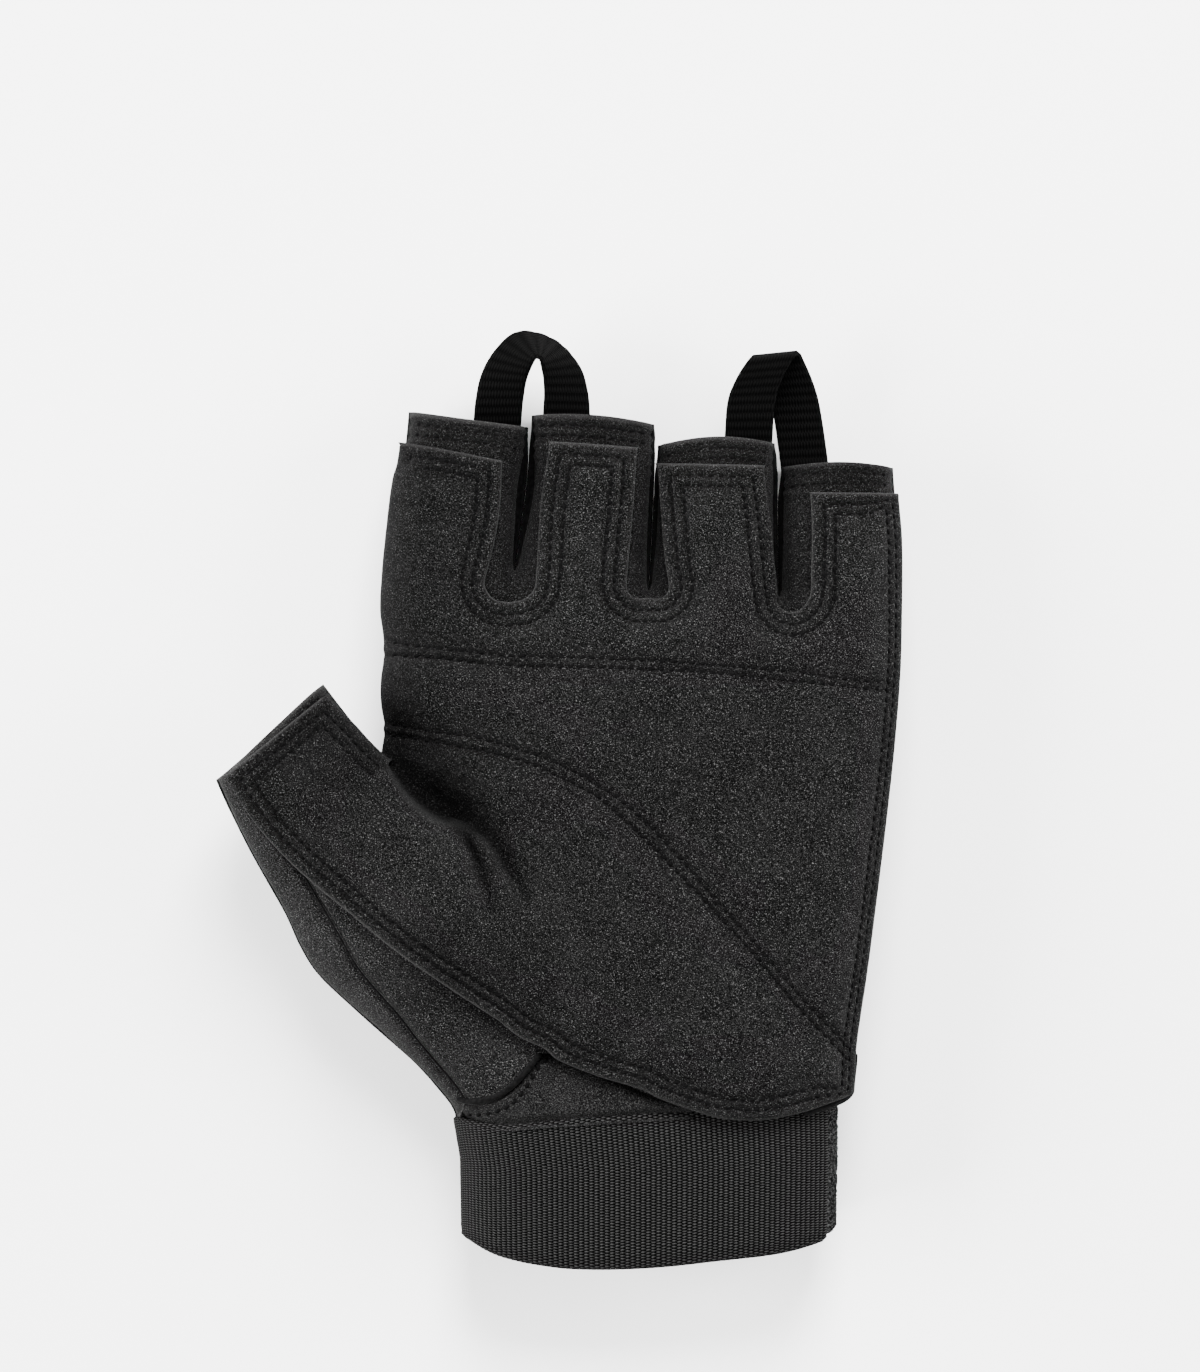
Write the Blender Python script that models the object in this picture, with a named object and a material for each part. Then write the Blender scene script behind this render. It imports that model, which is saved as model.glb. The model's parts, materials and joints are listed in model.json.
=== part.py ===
# Half-finger weightlifting glove for the left hand, lying on its back with the palm up.
# Fingers point to +Y, the thumb to -X, and the flat back of the hand rests on z = 0.
import bpy
import numpy as np

for old in list(bpy.data.objects):
    bpy.data.objects.remove(old, do_unlink=True)

# Driving sizes, in metres.
PALM_WIDTH = 0.1057
PALM_LENGTH = 0.107
FINGER_LENGTH = 0.034
THUMB_LENGTH = 0.0354
THUMB_WIDTH = 0.0289
HAND_HEIGHT = 0.0245
THUMB_RISE = 0.014
CUFF_LENGTH = 0.029
FABRIC = 0.0015
FOURCHETTE = 0.0012
PAD = 0.0014
PAD_LIFT = 0.0008
ELASTIC = 0.0018
WEBBING = 0.0011
WEBBING_WIDTH = 0.0098
LOOP_HEIGHT = 0.017
TAB_LENGTH = 0.042
GAP = 0.0003

# How round the edges are seen from above, and how far a finger's side wall reaches.
PALM_ROUND = 0.6 * HAND_HEIGHT
FINGER_ROUND = 0.4 * HAND_HEIGHT
CUFF_ROUND = 0.52 * HAND_HEIGHT
WALL_HALF = 0.12 * HAND_HEIGHT
SEAM_SHARE = 0.5
SINK = 0.0034
SINK_OFF = -0.14 * PALM_WIDTH
BEND_REACH = 0.22 * PALM_LENGTH
CUFF_HEIGHT = 0.965
PER_SPAN = 12
SNAP = 0.00005


def table(columns, *rows):
    return dict(zip(columns.split(), np.array(rows, float).T))


# Lines of the glove in plan. x is a share of PALM_WIDTH and y of PALM_LENGTH.
WRIST_LINE = table(
    "x y",
    (-0.359, -0.505),
    (-0.274, -0.517),
    (-0.158, -0.507),
    (-0.004, -0.496),
    (0.112, -0.492),
    (0.266, -0.490),
    (0.400, -0.469),
)
HEEL_LINE = table(
    "x y",
    (-0.340, -0.472),
    (-0.313, -0.474),
    (-0.274, -0.463),
    (-0.245, -0.442),
    (-0.216, -0.403),
    (-0.187, -0.382),
    (-0.139, -0.393),
    (-0.071, -0.420),
    (0.015, -0.456),
    (0.093, -0.480),
)
RADIAL_SIDE = table(
    "x y",
    (-0.359, -0.490),
    (-0.409, -0.435),
    (-0.525, -0.324),
    (-0.612, -0.257),
)
SEAM_LOW = table(
    "x y",
    (-0.340, -0.469),
    (-0.390, -0.404),
    (-0.467, -0.309),
)
PALM_LEFT = table(
    "x y",
    (-0.417, 0.099),
    (-0.448, 0.134),
    (-0.471, 0.164),
    (-0.483, 0.210),
    (-0.487, 0.286),
    (-0.488, 0.401),
)
ULNAR_SIDE = table(
    "x y",
    (0.397, -0.4705),
    (0.409, -0.362),
    (0.431, -0.219),
    (0.460, 0.000),
    (0.481, 0.181),
    (0.494, 0.343),
    (0.498, 0.481),
)
KNUCKLE_LINE = table(
    "x y",
    (-0.540, 0.387),
    (-0.351, 0.373),
    (-0.081, 0.358),
    (0.112, 0.347),
    (0.305, 0.326),
    (0.540, 0.306),
)
LIFE_LINE = table(
    "x y",
    (-0.540, 0.236),
    (-0.351, 0.212),
    (-0.236, 0.187),
    (-0.158, 0.154),
    (-0.081, 0.111),
    (-0.004, 0.042),
    (0.112, -0.082),
    (0.228, -0.202),
    (0.305, -0.290),
    (0.440, -0.436),
)
FOLDS = (
    table(
        "x y deep", (-0.390, 0.069, 0.6), (-0.313, 0.034, 1.0), (-0.245, -0.067, 0.8), (-0.222, -0.111, 0.0)
    ),
    table(
        "x y deep", (-0.348, 0.023, 0.0), (-0.313, -0.042, 0.6), (-0.293, -0.105, 0.5), (-0.280, -0.181, 0.0)
    ),
)

# Where the fingers part, and the seams' places in the palm below: shares as above.
FORKS = table(
    "heel_x heel_y level_x level_y fork_x fork_y",
    (-0.216, -0.403, -0.309, -0.190, -0.390, 0.069),
    (-0.071, -0.420, -0.158, 0.046, -0.245, 0.532),
    (0.093, -0.480, 0.054, 0.029, 0.014, 0.500),
    (0.247, -0.486, 0.257, 0.015, 0.265, 0.488),
)
# Finger edges beyond the forks. x is a share of PALM_WIDTH, y of FINGER_LENGTH from y = 0.5 PALM_LENGTH.
FINGERS = table(
    "left_mid_x left_mid_y left_x left_y right_mid_x right_mid_y right_x right_y",
    (-0.467, 0.58, -0.452, 1.06, -0.239, 0.53, -0.219, 0.95),
    (-0.214, 0.58, -0.213, 1.04, 0.016, 0.49, 0.024, 0.98),
    (0.025, 0.42, 0.032, 0.86, 0.257, 0.41, 0.257, 0.87),
    (0.269, 0.34, 0.270, 0.73, 0.497, 0.32, 0.487, 0.73),
)

# Edges of the thumb from its crotch. Shares of THUMB_LENGTH along it and of THUMB_WIDTH across it.
THUMB_ALONG = np.array([-0.662, 0.749])
THUMB_ACROSS = np.array([-0.749, -0.662])
THUMB_OUTER = table(
    "along across", (-0.053, 1.376), (0.168, 1.278), (0.438, 1.203), (0.703, 1.123), (0.999, 1.001)
)
THUMB_SEAM = table(
    "along across", (-0.190, 1.101), (0.190, 1.040), (0.445, 1.000), (0.690, 0.967), (0.930, 0.945)
)
THUMB_INNER = table(
    "along across", (0.132, 0.045), (0.304, 0.048), (0.689, 0.027), (1.000, 0.001)
)

# The overlay's edges, in the same shares.
PAD_OUTER_LOW = table("x y", (-0.274, -0.319), (-0.351, -0.267), (-0.467, -0.187), (-0.573, -0.101))
PAD_THUMB_OUTER = table("along across", (0.327, 0.965), (0.662, 0.940), (0.955, 0.893))
PAD_THUMB_INNER = table("along across", (0.130, 0.095), (0.416, 0.086), (0.948, 0.067))
PAD_LEFT = table(
    "x y",
    (-0.405, 0.107), (-0.436, 0.145), (-0.460, 0.177), (-0.471, 0.219), (-0.479, 0.286), (-0.483, 0.401),
)
PAD_RIGHT = table(
    "x y", (0.380, -0.470), (0.391, -0.362), (0.419, -0.219), (0.448, 0.0), (0.469, 0.181), (0.483, 0.343)
)
PAD_FORKS = table(
    "low_x low_y level_x level_y fork_x fork_y",
    (-0.158, -0.385, -0.274, -0.172, -0.378, 0.055),
    (-0.004, -0.458, -0.149, 0.046, -0.255, 0.467),
    (0.112, -0.496, 0.058, 0.029, 0.015, 0.469),
    (0.247, -0.507, 0.261, 0.015, 0.286, 0.446),
)
PAD_FINGERS = table(
    "left_turn_x left_turn_y left_x left_y right_turn_x right_turn_y right_x right_y",
    (-0.475, 0.26, -0.450, 0.83, -0.305, -0.04, -0.276, 0.74),
    (-0.197, -0.02, -0.168, 0.85, -0.037, -0.06, -0.017, 0.81),
    (0.056, -0.06, 0.042, 0.72, 0.249, -0.11, 0.222, 0.71),
    (0.328, -0.09, 0.328, 0.55, 0.485, 0.20, 0.477, 0.54),
)

# The front's height along the hand. y is a share of PALM_LENGTH and z of HAND_HEIGHT.
PROFILE = table(
    "y z",
    (-0.80, 0.96), (-0.50, 1.0), (-0.20, 1.04), (0.05, 1.0),
    (0.35, 0.97), (0.50, 0.88), (0.66, 0.78), (0.84, 0.73),
)
MOUND = {"x": -0.40, "y": -0.10, "wide": 0.20, "rise": 0.34}
HOLLOW = {"x": 0.02, "y": -0.06, "wide": 0.26, "rise": -0.10}
FOLD_DEPTH = 0.16 * HAND_HEIGHT
FOLD_WIDTH = 0.034 * PALM_WIDTH

# The cuff's lower edge: shares of the half width across, and of CUFF_LENGTH down from the wrist line.
CUFF_LOW = table(
    "across front back",
    (-1.0, 0.86, 0.86),
    (-0.8, 0.97, 0.90),
    (-0.45, 1.08, 0.92),
    (0.0, 1.10, 0.92),
    (0.5, 1.03, 0.92),
    (1.0, 0.95, 0.88),
)
# The cuff's outline: how far down, and its two sides as shares of PALM_WIDTH.
CUFF_SIDES = table("down left right", (0.0, -0.362, 0.396), (0.35, -0.345, 0.396), (1.1, -0.342, 0.392))
# Where the band's pieces begin and end, as shares of the way round from the little finger's side.
ELASTIC_ENDS = {"start": 0.050, "finish": 0.84}
STRIP_ENDS = {"start": -0.165, "finish": 0.105}

# The pull loops' ribbons. x is a share of PALM_WIDTH, y of LOOP_HEIGHT from y = 0.5 PALM_LENGTH
# + FINGER_LENGTH, z of HAND_HEIGHT. wx, wy and wz give the direction of the ribbon's width.
LOOP_INDEX_MIDDLE = table(
    "x y z wx wy wz",
    (-0.290, -0.40, 0.45, 1, 0.0, 0.0),
    (-0.282, 0.05, 0.50, 1, 0.0, 0.0),
    (-0.271, 0.48, 0.60, 0.95, -0.15, 0.3),
    (-0.254, 0.80, 0.66, 0.66, -0.40, 0.64),
    (-0.210, 0.98, 0.70, 0.05, -0.50, 0.86),
    (-0.168, 0.80, 0.66, -0.62, -0.40, 0.68),
    (-0.148, 0.48, 0.60, -0.95, -0.15, 0.3),
    (-0.147, 0.05, 0.50, -1, 0.0, 0.0),
    (-0.147, -0.40, 0.45, -1, 0.0, 0.0),
)
LOOP_RING_LITTLE = table(
    "x y z wx wy wz",
    (0.194, -0.62, 0.44, 1, 0.0, 0.0),
    (0.197, -0.20, 0.49, 1, 0.0, 0.0),
    (0.214, 0.35, 0.63, 1, 0.04, 0.05),
    (0.238, 0.72, 0.64, 0.96, 0.10, 0.20),
    (0.262, 0.86, 0.52, 0.90, 0.05, 0.40),
    (0.286, 0.74, 0.38, 0.96, 0.10, 0.20),
    (0.306, 0.40, 0.34, 1, 0.08, 0.05),
    (0.324, -0.15, 0.36, 1, 0.0, 0.0),
    (0.332, -0.85, 0.40, 1, 0.0, 0.0),
)

MATERIALS = {
    "suede": {"colour": (0.035, 0.035, 0.036), "rough": 0.95},
    "padded_suede": {"colour": (0.040, 0.040, 0.041), "rough": 0.95},
    "stretch_fabric": {"colour": (0.012, 0.012, 0.013), "rough": 0.85},
    "knit_elastic": {"colour": (0.024, 0.024, 0.025), "rough": 0.9},
    "fuzzy_loop": {"colour": (0.016, 0.016, 0.017), "rough": 1.0},
    "hook_tape": {"colour": (0.010, 0.010, 0.011), "rough": 0.6},
    "webbing": {"colour": (0.008, 0.008, 0.009), "rough": 0.7},
}


# Curves in plan.


def in_palm(rows):
    return np.stack([rows["x"] * PALM_WIDTH, rows["y"] * PALM_LENGTH], 1)


def in_thumb(rows):
    crotch = fork(FORKS, 0)
    along = rows["along"][:, None] * THUMB_LENGTH * THUMB_ALONG
    return crotch + along + rows["across"][:, None] * THUMB_WIDTH * THUMB_ACROSS


def fork(rows, index, which="fork"):
    return np.array([rows[which + "_x"][index] * PALM_WIDTH, rows[which + "_y"][index] * PALM_LENGTH])


def finger_point(rows, index, which):
    y = 0.5 * PALM_LENGTH + rows[which + "_y"][index] * FINGER_LENGTH
    return np.array([rows[which + "_x"][index] * PALM_WIDTH, y])


# A smooth curve through knots; knot k is point k * PER_SPAN of the result.
def smooth(knots):
    knots = np.array(knots)
    ends = [2 * knots[0] - knots[1]], knots, [2 * knots[-1] - knots[-2]]
    p = np.concatenate(ends)
    a, b, c, d = p[:-3, None], p[1:-2, None], p[2:-1, None], p[3:, None]
    t = (np.arange(PER_SPAN) / PER_SPAN)[None, :, None]
    spans = 0.5 * (2 * b + (c - a) * t + (2 * a - 5 * b + 4 * c - d) * t**2 + (3 * b - a - 3 * c + d) * t**3)
    return np.concatenate([spans.reshape(-1, knots.shape[1]), knots[-1:]])


def lengths(path):
    return np.concatenate([[0], np.cumsum(np.linalg.norm(np.diff(path, axis=0), axis=1))])


# Points on a path at the stops, each a length along it, with even steps between them.
def walk(path, stops, steps):
    s = np.concatenate([np.linspace(a, b, n, endpoint=False) for a, b, n in zip(stops, stops[1:], steps)])
    s = np.append(s, stops[-1])
    far = lengths(path)
    return np.stack([np.interp(s, far, path[:, k]) for k in range(path.shape[1])], 1)


# How far along a path it first rises above a line drawn across the hand.
def crossing(path, line):
    s = np.linspace(0, lengths(path)[-1], 800)
    far = lengths(path)
    x = np.interp(s, far, path[:, 0])
    y = np.interp(s, far, path[:, 1])
    return s[np.argmax(y > np.interp(x, line[:, 0], line[:, 1]))]


# The side outlines, each with the glove on its right.
def side_paths():
    longer = np.array([0, 0.4 * FINGER_LENGTH])
    down = np.array([0, -1.5 * CUFF_LENGTH])
    outer = np.concatenate([in_palm(RADIAL_SIDE), in_thumb(THUMB_OUTER)])
    inner = np.concatenate([in_thumb(THUMB_INNER)[::-1], [fork(FORKS, 0)], in_palm(PALM_LEFT)])
    index_left = [finger_point(FINGERS, 0, "left_mid"), finger_point(FINGERS, 0, "left")]
    ulnar = in_palm(ULNAR_SIDE)[::-1]
    little = [finger_point(FINGERS, 3, "right"), finger_point(FINGERS, 3, "right_mid")]
    past = 0.4 * THUMB_LENGTH * THUMB_ALONG
    return {
        "outer": smooth([outer[0] + down, *outer, outer[-1] + past]),
        "inner": smooth([inner[0] + past, *inner, *index_left, index_left[-1] + longer]),
        "ulnar": smooth([little[0] + longer, *little, *ulnar, ulnar[-1] + down]),
        "gap_1": gap_path(1, longer),
        "gap_2": gap_path(2, longer),
        "gap_3": gap_path(3, longer),
    }


def gap_path(index, longer):
    before = [finger_point(FINGERS, index - 1, edge) for edge in ("right", "right_mid")]
    after = [finger_point(FINGERS, index, edge) for edge in ("left_mid", "left")]
    down = smooth([*before, fork(FORKS, index)])
    up = smooth([fork(FORKS, index), *after])
    return np.concatenate([[down[0] + longer], down, up[1:], [up[-1] + longer]])


# For each point: its distance to a path, and the direction straight away from it.
def away_from(path, p):
    a, b = path[:-1], path[1:]
    run = b - a
    side = np.stack([run[:, 1], -run[:, 0]], 1) / np.linalg.norm(run, axis=1)[:, None]
    corner = np.concatenate([side[:1], side[:-1] + side[1:], side[-1:]])
    t = ((p[:, None] - a) * run).sum(2) / (run * run).sum(1)
    t = np.clip(t, 0, 1)
    offset = p[:, None] - (a + t[..., None] * run)
    far = np.linalg.norm(offset, axis=2)
    best = far.argmin(1)
    rows = np.arange(len(p))
    t = t[rows, best][:, None]
    on_path = corner[best] * (1 - t) + corner[best + 1] * t
    far = far[rows, best]
    direction = np.where((far < SNAP)[:, None], on_path, offset[rows, best])
    direction /= np.linalg.norm(direction, axis=1)[:, None]
    return np.where(far < SNAP, 0, far), direction


def ramp(low, high, value):
    t = np.clip((value - low) / (high - low), 0, 1)
    return t * t * (3 - 2 * t)


def bump(p, spot):
    dx = p[:, 0] / PALM_WIDTH - spot["x"]
    dy = p[:, 1] / PALM_LENGTH - spot["y"]
    return spot["rise"] * HAND_HEIGHT * np.exp(-(dx * dx + dy * dy) / spot["wide"] ** 2)


def near_line(line, p):
    return away_from(smooth(line), p)[0]


# The glove's height field at plan points: top, side seam and bottom, and how round the edge is.
def heights(p):
    y = p[:, 1] / PALM_LENGTH
    top = HAND_HEIGHT * np.interp(y, PROFILE["y"], PROFILE["z"])
    seam = SEAM_SHARE * top
    from_crotch = p - fork(FORKS, 0)
    along = from_crotch @ THUMB_ALONG / THUMB_LENGTH
    across = from_crotch @ THUMB_ACROSS / THUMB_WIDTH
    thumb = ramp(-0.25, 1.15, along) * ramp(-0.3, 0.12, across)
    top = top + bump(p, MOUND) + bump(p, HOLLOW) + 0.66 * THUMB_RISE * thumb
    for fold in FOLDS:
        line = np.stack([fold["x"] * PALM_WIDTH, fold["y"] * PALM_LENGTH], 1)
        deep = np.interp(p[:, 0], line[:, 0], fold["deep"])
        top = top - FOLD_DEPTH * deep * np.exp(-((near_line(line, p) / FOLD_WIDTH) ** 2))
    seam = seam + 0.84 * THUMB_RISE * thumb
    bottom = THUMB_RISE * thumb
    narrow = ramp(0.3, 0.55, y) * (1 - ramp(-0.3, 0.12, across))
    reach = PALM_ROUND + (FINGER_ROUND - PALM_ROUND) * narrow
    return top, seam, bottom, np.minimum(reach, 0.45 * THUMB_WIDTH)


SIDES = side_paths()


# Points of a shell above plan points: a quarter ellipse in from the outline, moved out by lift.
def shell(p, front, lift):
    far, away, wall = nearest_side(p)
    top, seam, bottom, reach = heights(p)
    inward = np.clip(1 - far / reach, 0, 1)
    up = np.sqrt(1 - inward**2)
    plan = p - away * (lift * inward)[:, None]
    if front:
        base = seam + np.where(wall, WALL_HALF, 0) + 0.5 * GAP
        z = base + (top + lift - base) * up
    else:
        base = seam - np.where(wall, WALL_HALF, 0) - 0.5 * GAP
        z = base - (base - bottom + lift) * up
    return np.column_stack([plan, z])


def nearest_side(p):
    found = [away_from(path, p) for path in SIDES.values()]
    far = np.stack([f for f, _ in found])
    best = far.argmin(0)
    rows = np.arange(len(p))
    away = np.stack([a for _, a in found])[best, rows]
    wall = np.array([name.startswith("gap") for name in SIDES])[best]
    return far[best, rows], away, wall


# Meshes.


def columns_grid(columns):
    points, quads, start = [], [], 0
    for left, right, count in columns:
        u = 0.5 - 0.5 * np.cos(np.pi * np.linspace(0, 1, count + 1))
        u = (0.35 * np.linspace(0, 1, count + 1) + 0.65 * u)[None, :, None]
        points.append((left[:, None] * (1 - u) + right[:, None] * u).reshape(-1, 2))
        index = start + np.arange(len(left) * (count + 1)).reshape(len(left), count + 1)
        corners = [index[:-1, :-1], index[:-1, 1:], index[1:, 1:], index[1:, :-1]]
        quads.append(np.stack(corners, -1).reshape(-1, 4))
        start += index.size
    points = np.concatenate(points)
    places = np.round(points / 1e-7).astype(np.int64)
    _, first, weld = np.unique(places, axis=0, return_index=True, return_inverse=True)
    return points[first], weld.reshape(-1)[np.concatenate(quads)]


# Two matching sheets joined along their open edges.
def closed(outer, inner, quads):
    n = len(outer)
    edges = np.concatenate([quads[:, [k, (k + 1) % 4]] for k in range(4)])
    keys = edges[:, 0] * n + edges[:, 1]
    back = edges[:, 1] * n + edges[:, 0]
    rim = edges[~np.isin(keys, back)]
    sides = np.column_stack([rim[:, 1], rim[:, 0], rim[:, 0] + n, rim[:, 1] + n])
    return np.concatenate([outer, inner]), np.concatenate([quads, quads[:, ::-1] + n, sides])


# The plan points with their straight lower row moved onto a curved lower edge.
def bent(points, columns, edge):
    row = np.array([columns[0][0][0]] + [right[0] for _, right, _ in columns])
    straight = np.interp(points[:, 0], row[:, 0], row[:, 1])
    curved = np.interp(points[:, 0], edge[:, 0], edge[:, 1])
    weight = np.clip(1 - (points[:, 1] - straight) / BEND_REACH, 0, 1)
    inside = (points[:, 0] >= row[0, 0]) & (points[:, 0] <= row[-1, 0])
    shift = np.where(inside, (curved - straight) * weight, 0)
    return points + np.column_stack([0 * shift, shift])


def shell_solid(columns, front, outside, inside, edge=None):
    points, quads = columns_grid(columns)
    if edge is not None:
        points = bent(points, columns, edge)
    if front:
        # The panel sinks under the overlay's folds.
        crotch = np.linalg.norm(points - fork(FORKS, 0) - SINK_OFF * THUMB_ACROSS, axis=1)
        sunk = SINK * ramp(1.6, 0.4, crotch / (0.2 * PALM_WIDTH))
        outside, inside = outside - sunk, inside - sunk
    if not front:
        quads = quads[:, ::-1]
    return closed(shell(points, front, outside), shell(points, front, inside), quads)


# A closed tube of loops of points: sections is (rows, points round, 3).
def tube(sections):
    rows, around = sections.shape[:2]
    index = np.arange(rows * around).reshape(rows, around)
    turn = np.roll(index, -1, 1)
    sides = np.stack([index[:-1], turn[:-1], turn[1:], index[1:]], -1).reshape(-1, 4)
    faces = sides.tolist() + [index[0, ::-1].tolist(), index[-1].tolist()]
    return sections.reshape(-1, 3), faces


def material(name):
    made = bpy.data.materials.get(name) or bpy.data.materials.new(name)
    made.use_nodes = True
    shader = made.node_tree.nodes["Principled BSDF"]
    shader.inputs["Base Color"].default_value = (*MATERIALS[name]["colour"], 1)
    shader.inputs["Roughness"].default_value = MATERIALS[name]["rough"]
    made.diffuse_color = (*MATERIALS[name]["colour"], 1)
    return made


def add(name, body, slot):
    points, faces = body
    mesh = bpy.data.meshes.new(name)
    mesh.from_pydata(np.asarray(points).tolist(), [], [list(f) for f in faces])
    mesh.validate()
    mesh.update()
    volume = sum(f.area * f.normal.dot(f.center) for f in mesh.polygons)
    if volume < 0:
        mesh.flip_normals()
    mesh.polygons.foreach_set("use_smooth", np.ones(len(mesh.polygons), bool))
    mesh.set_sharp_from_angle(angle=np.radians(40))
    mesh.materials.append(material(slot))
    obj = bpy.data.objects.new(name, mesh)
    bpy.context.collection.objects.link(obj)
    return obj


# Panels.


def finger_columns(borders, counts):
    return [(borders[2 * k], borders[2 * k + 1], count) for k, count in enumerate(counts)]


def panel_borders(start, steps):
    # Each border goes from the lower edge over the thumb's level and the fork to the tip.
    up = []
    for k in range(4):
        below = smooth([start[k], fork(FORKS, k, "level"), fork(FORKS, k)])
        up.append(below)
    little = [finger_point(FINGERS, 3, edge) for edge in ("right_mid", "right")]
    right = smooth([start[4], *in_palm(ULNAR_SIDE)[1:], *little])
    index_side = [finger_point(FINGERS, 0, edge) for edge in ("left_mid", "left")]
    left = smooth([fork(FORKS, 0), *in_palm(PALM_LEFT), *index_side])
    low, high, tip = steps
    level_right = crossing(right, np.array([[-1, 0.03 * PALM_LENGTH], [1, 0.03 * PALM_LENGTH]]))
    fork_right = crossing(right, np.array([[-1, 0.49 * PALM_LENGTH], [1, 0.49 * PALM_LENGTH]]))
    fork_left = crossing(left, np.array([[-1, 0.52 * PALM_LENGTH], [1, 0.52 * PALM_LENGTH]]))
    first = np.concatenate([
        walk(up[0], [0, lengths(up[0])[-1]], [low])[:-1],
        walk(left, [0, fork_left, lengths(left)[-1]], [high, tip]),
    ])
    borders = [first]
    for k in range(1, 4):
        below = up[k]
        middle = lengths(below)[PER_SPAN]
        trunk = walk(below, [0, middle, lengths(below)[-1]], [low, high])[:-1]
        for finger, edge in ((k - 1, "right"), (k, "left")):
            tip_points = [finger_point(FINGERS, finger, end) for end in (edge + "_mid", edge)]
            branch = smooth([fork(FORKS, k), *tip_points])
            borders.append(np.concatenate([trunk, walk(branch, [0, lengths(branch)[-1]], [tip])]))
    borders.append(walk(right, [0, level_right, fork_right, lengths(right)[-1]], [low, high, tip]))
    return borders, walk(up[0], [0, lengths(up[0])[-1]], [low])


def thumb_rows(trunk, rows, tip_steps):
    inner = smooth([fork(FORKS, 0), *in_thumb(rows)])
    return np.concatenate([trunk[:-1], walk(inner, [0, lengths(inner)[-1]], [tip_steps])])


def even(path, steps, share=0.5):
    total = lengths(path)[-1]
    return walk(path, [0, share * total, total], [steps[0], steps[1]])


# The palm's lower edge: the curved heel line, then along the wrist line.
def lower_edge():
    heel, wrist = smooth(in_palm(HEEL_LINE)), in_palm(WRIST_LINE)
    after = wrist[wrist[:, 0] > heel[-1, 0]]
    return np.concatenate([heel, after]) + np.array([0, GAP])


def palm_panel():
    lift = np.array([0, GAP])
    start = [fork(FORKS, k, "heel") + lift for k in range(4)]
    start.append(in_palm(ULNAR_SIDE)[0] + lift)
    borders, trunk = panel_borders(start, (6, 6, 5))
    seam = smooth(np.concatenate([in_palm(SEAM_LOW), in_thumb(THUMB_SEAM)]))
    seam = seam + 0.5 * GAP * -THUMB_ACROSS
    columns = [(even(seam, (6, 6)), thumb_rows(trunk, THUMB_INNER, 6), 6)]
    columns += finger_columns(borders, (5, 5, 5, 5))
    add("palm_panel", shell_solid(columns, True, 0, -FABRIC, lower_edge()), "suede")


def thumb_side_panel():
    seam = smooth(np.concatenate([in_palm(SEAM_LOW), in_thumb(THUMB_SEAM)]))
    seam = seam - 0.5 * GAP * -THUMB_ACROSS
    outer = smooth(np.concatenate([in_palm(RADIAL_SIDE), in_thumb(THUMB_OUTER)]))
    outer[:, 1] += GAP
    columns = [(even(outer, (6, 6)), even(seam, (6, 6)), 4)]
    add("thumb_side_panel", shell_solid(columns, True, 0, -FABRIC), "stretch_fabric")


def back_panel():
    lift = np.array([0, GAP])
    wrist = in_palm(WRIST_LINE)
    heel_x = np.append(FORKS["heel_x"], ULNAR_SIDE["x"][0]) * PALM_WIDTH
    start = [np.array([x, np.interp(x, wrist[:, 0], wrist[:, 1])]) + lift for x in heel_x]
    borders, trunk = panel_borders(start, (7, 6, 5))
    outer = smooth(np.concatenate([in_palm(RADIAL_SIDE), in_thumb(THUMB_OUTER)]))
    outer[:, 1] += GAP
    columns = [(even(outer, (7, 6)), thumb_rows(trunk, THUMB_INNER, 6), 7)]
    columns += finger_columns(borders, (5, 5, 5, 5))
    add("back_panel", shell_solid(columns, False, 0, -FABRIC, in_palm(WRIST_LINE) + lift), "stretch_fabric")


def heel_gusset():
    heel = smooth(in_palm(HEEL_LINE))
    wrist = in_palm(WRIST_LINE)
    count = 18
    upper = walk(heel, [0, lengths(heel)[-1]], [count]) - [0, GAP]
    x = np.linspace(-0.350, HEEL_LINE["x"][-1] - 0.004, count + 1) * PALM_WIDTH
    lower = np.column_stack([x, np.interp(x, wrist[:, 0], wrist[:, 1]) + GAP])
    columns = [(upper, lower, 4)]
    add("heel_gusset", shell_solid(columns, True, -0.0002, -FABRIC), "stretch_fabric")


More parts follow.
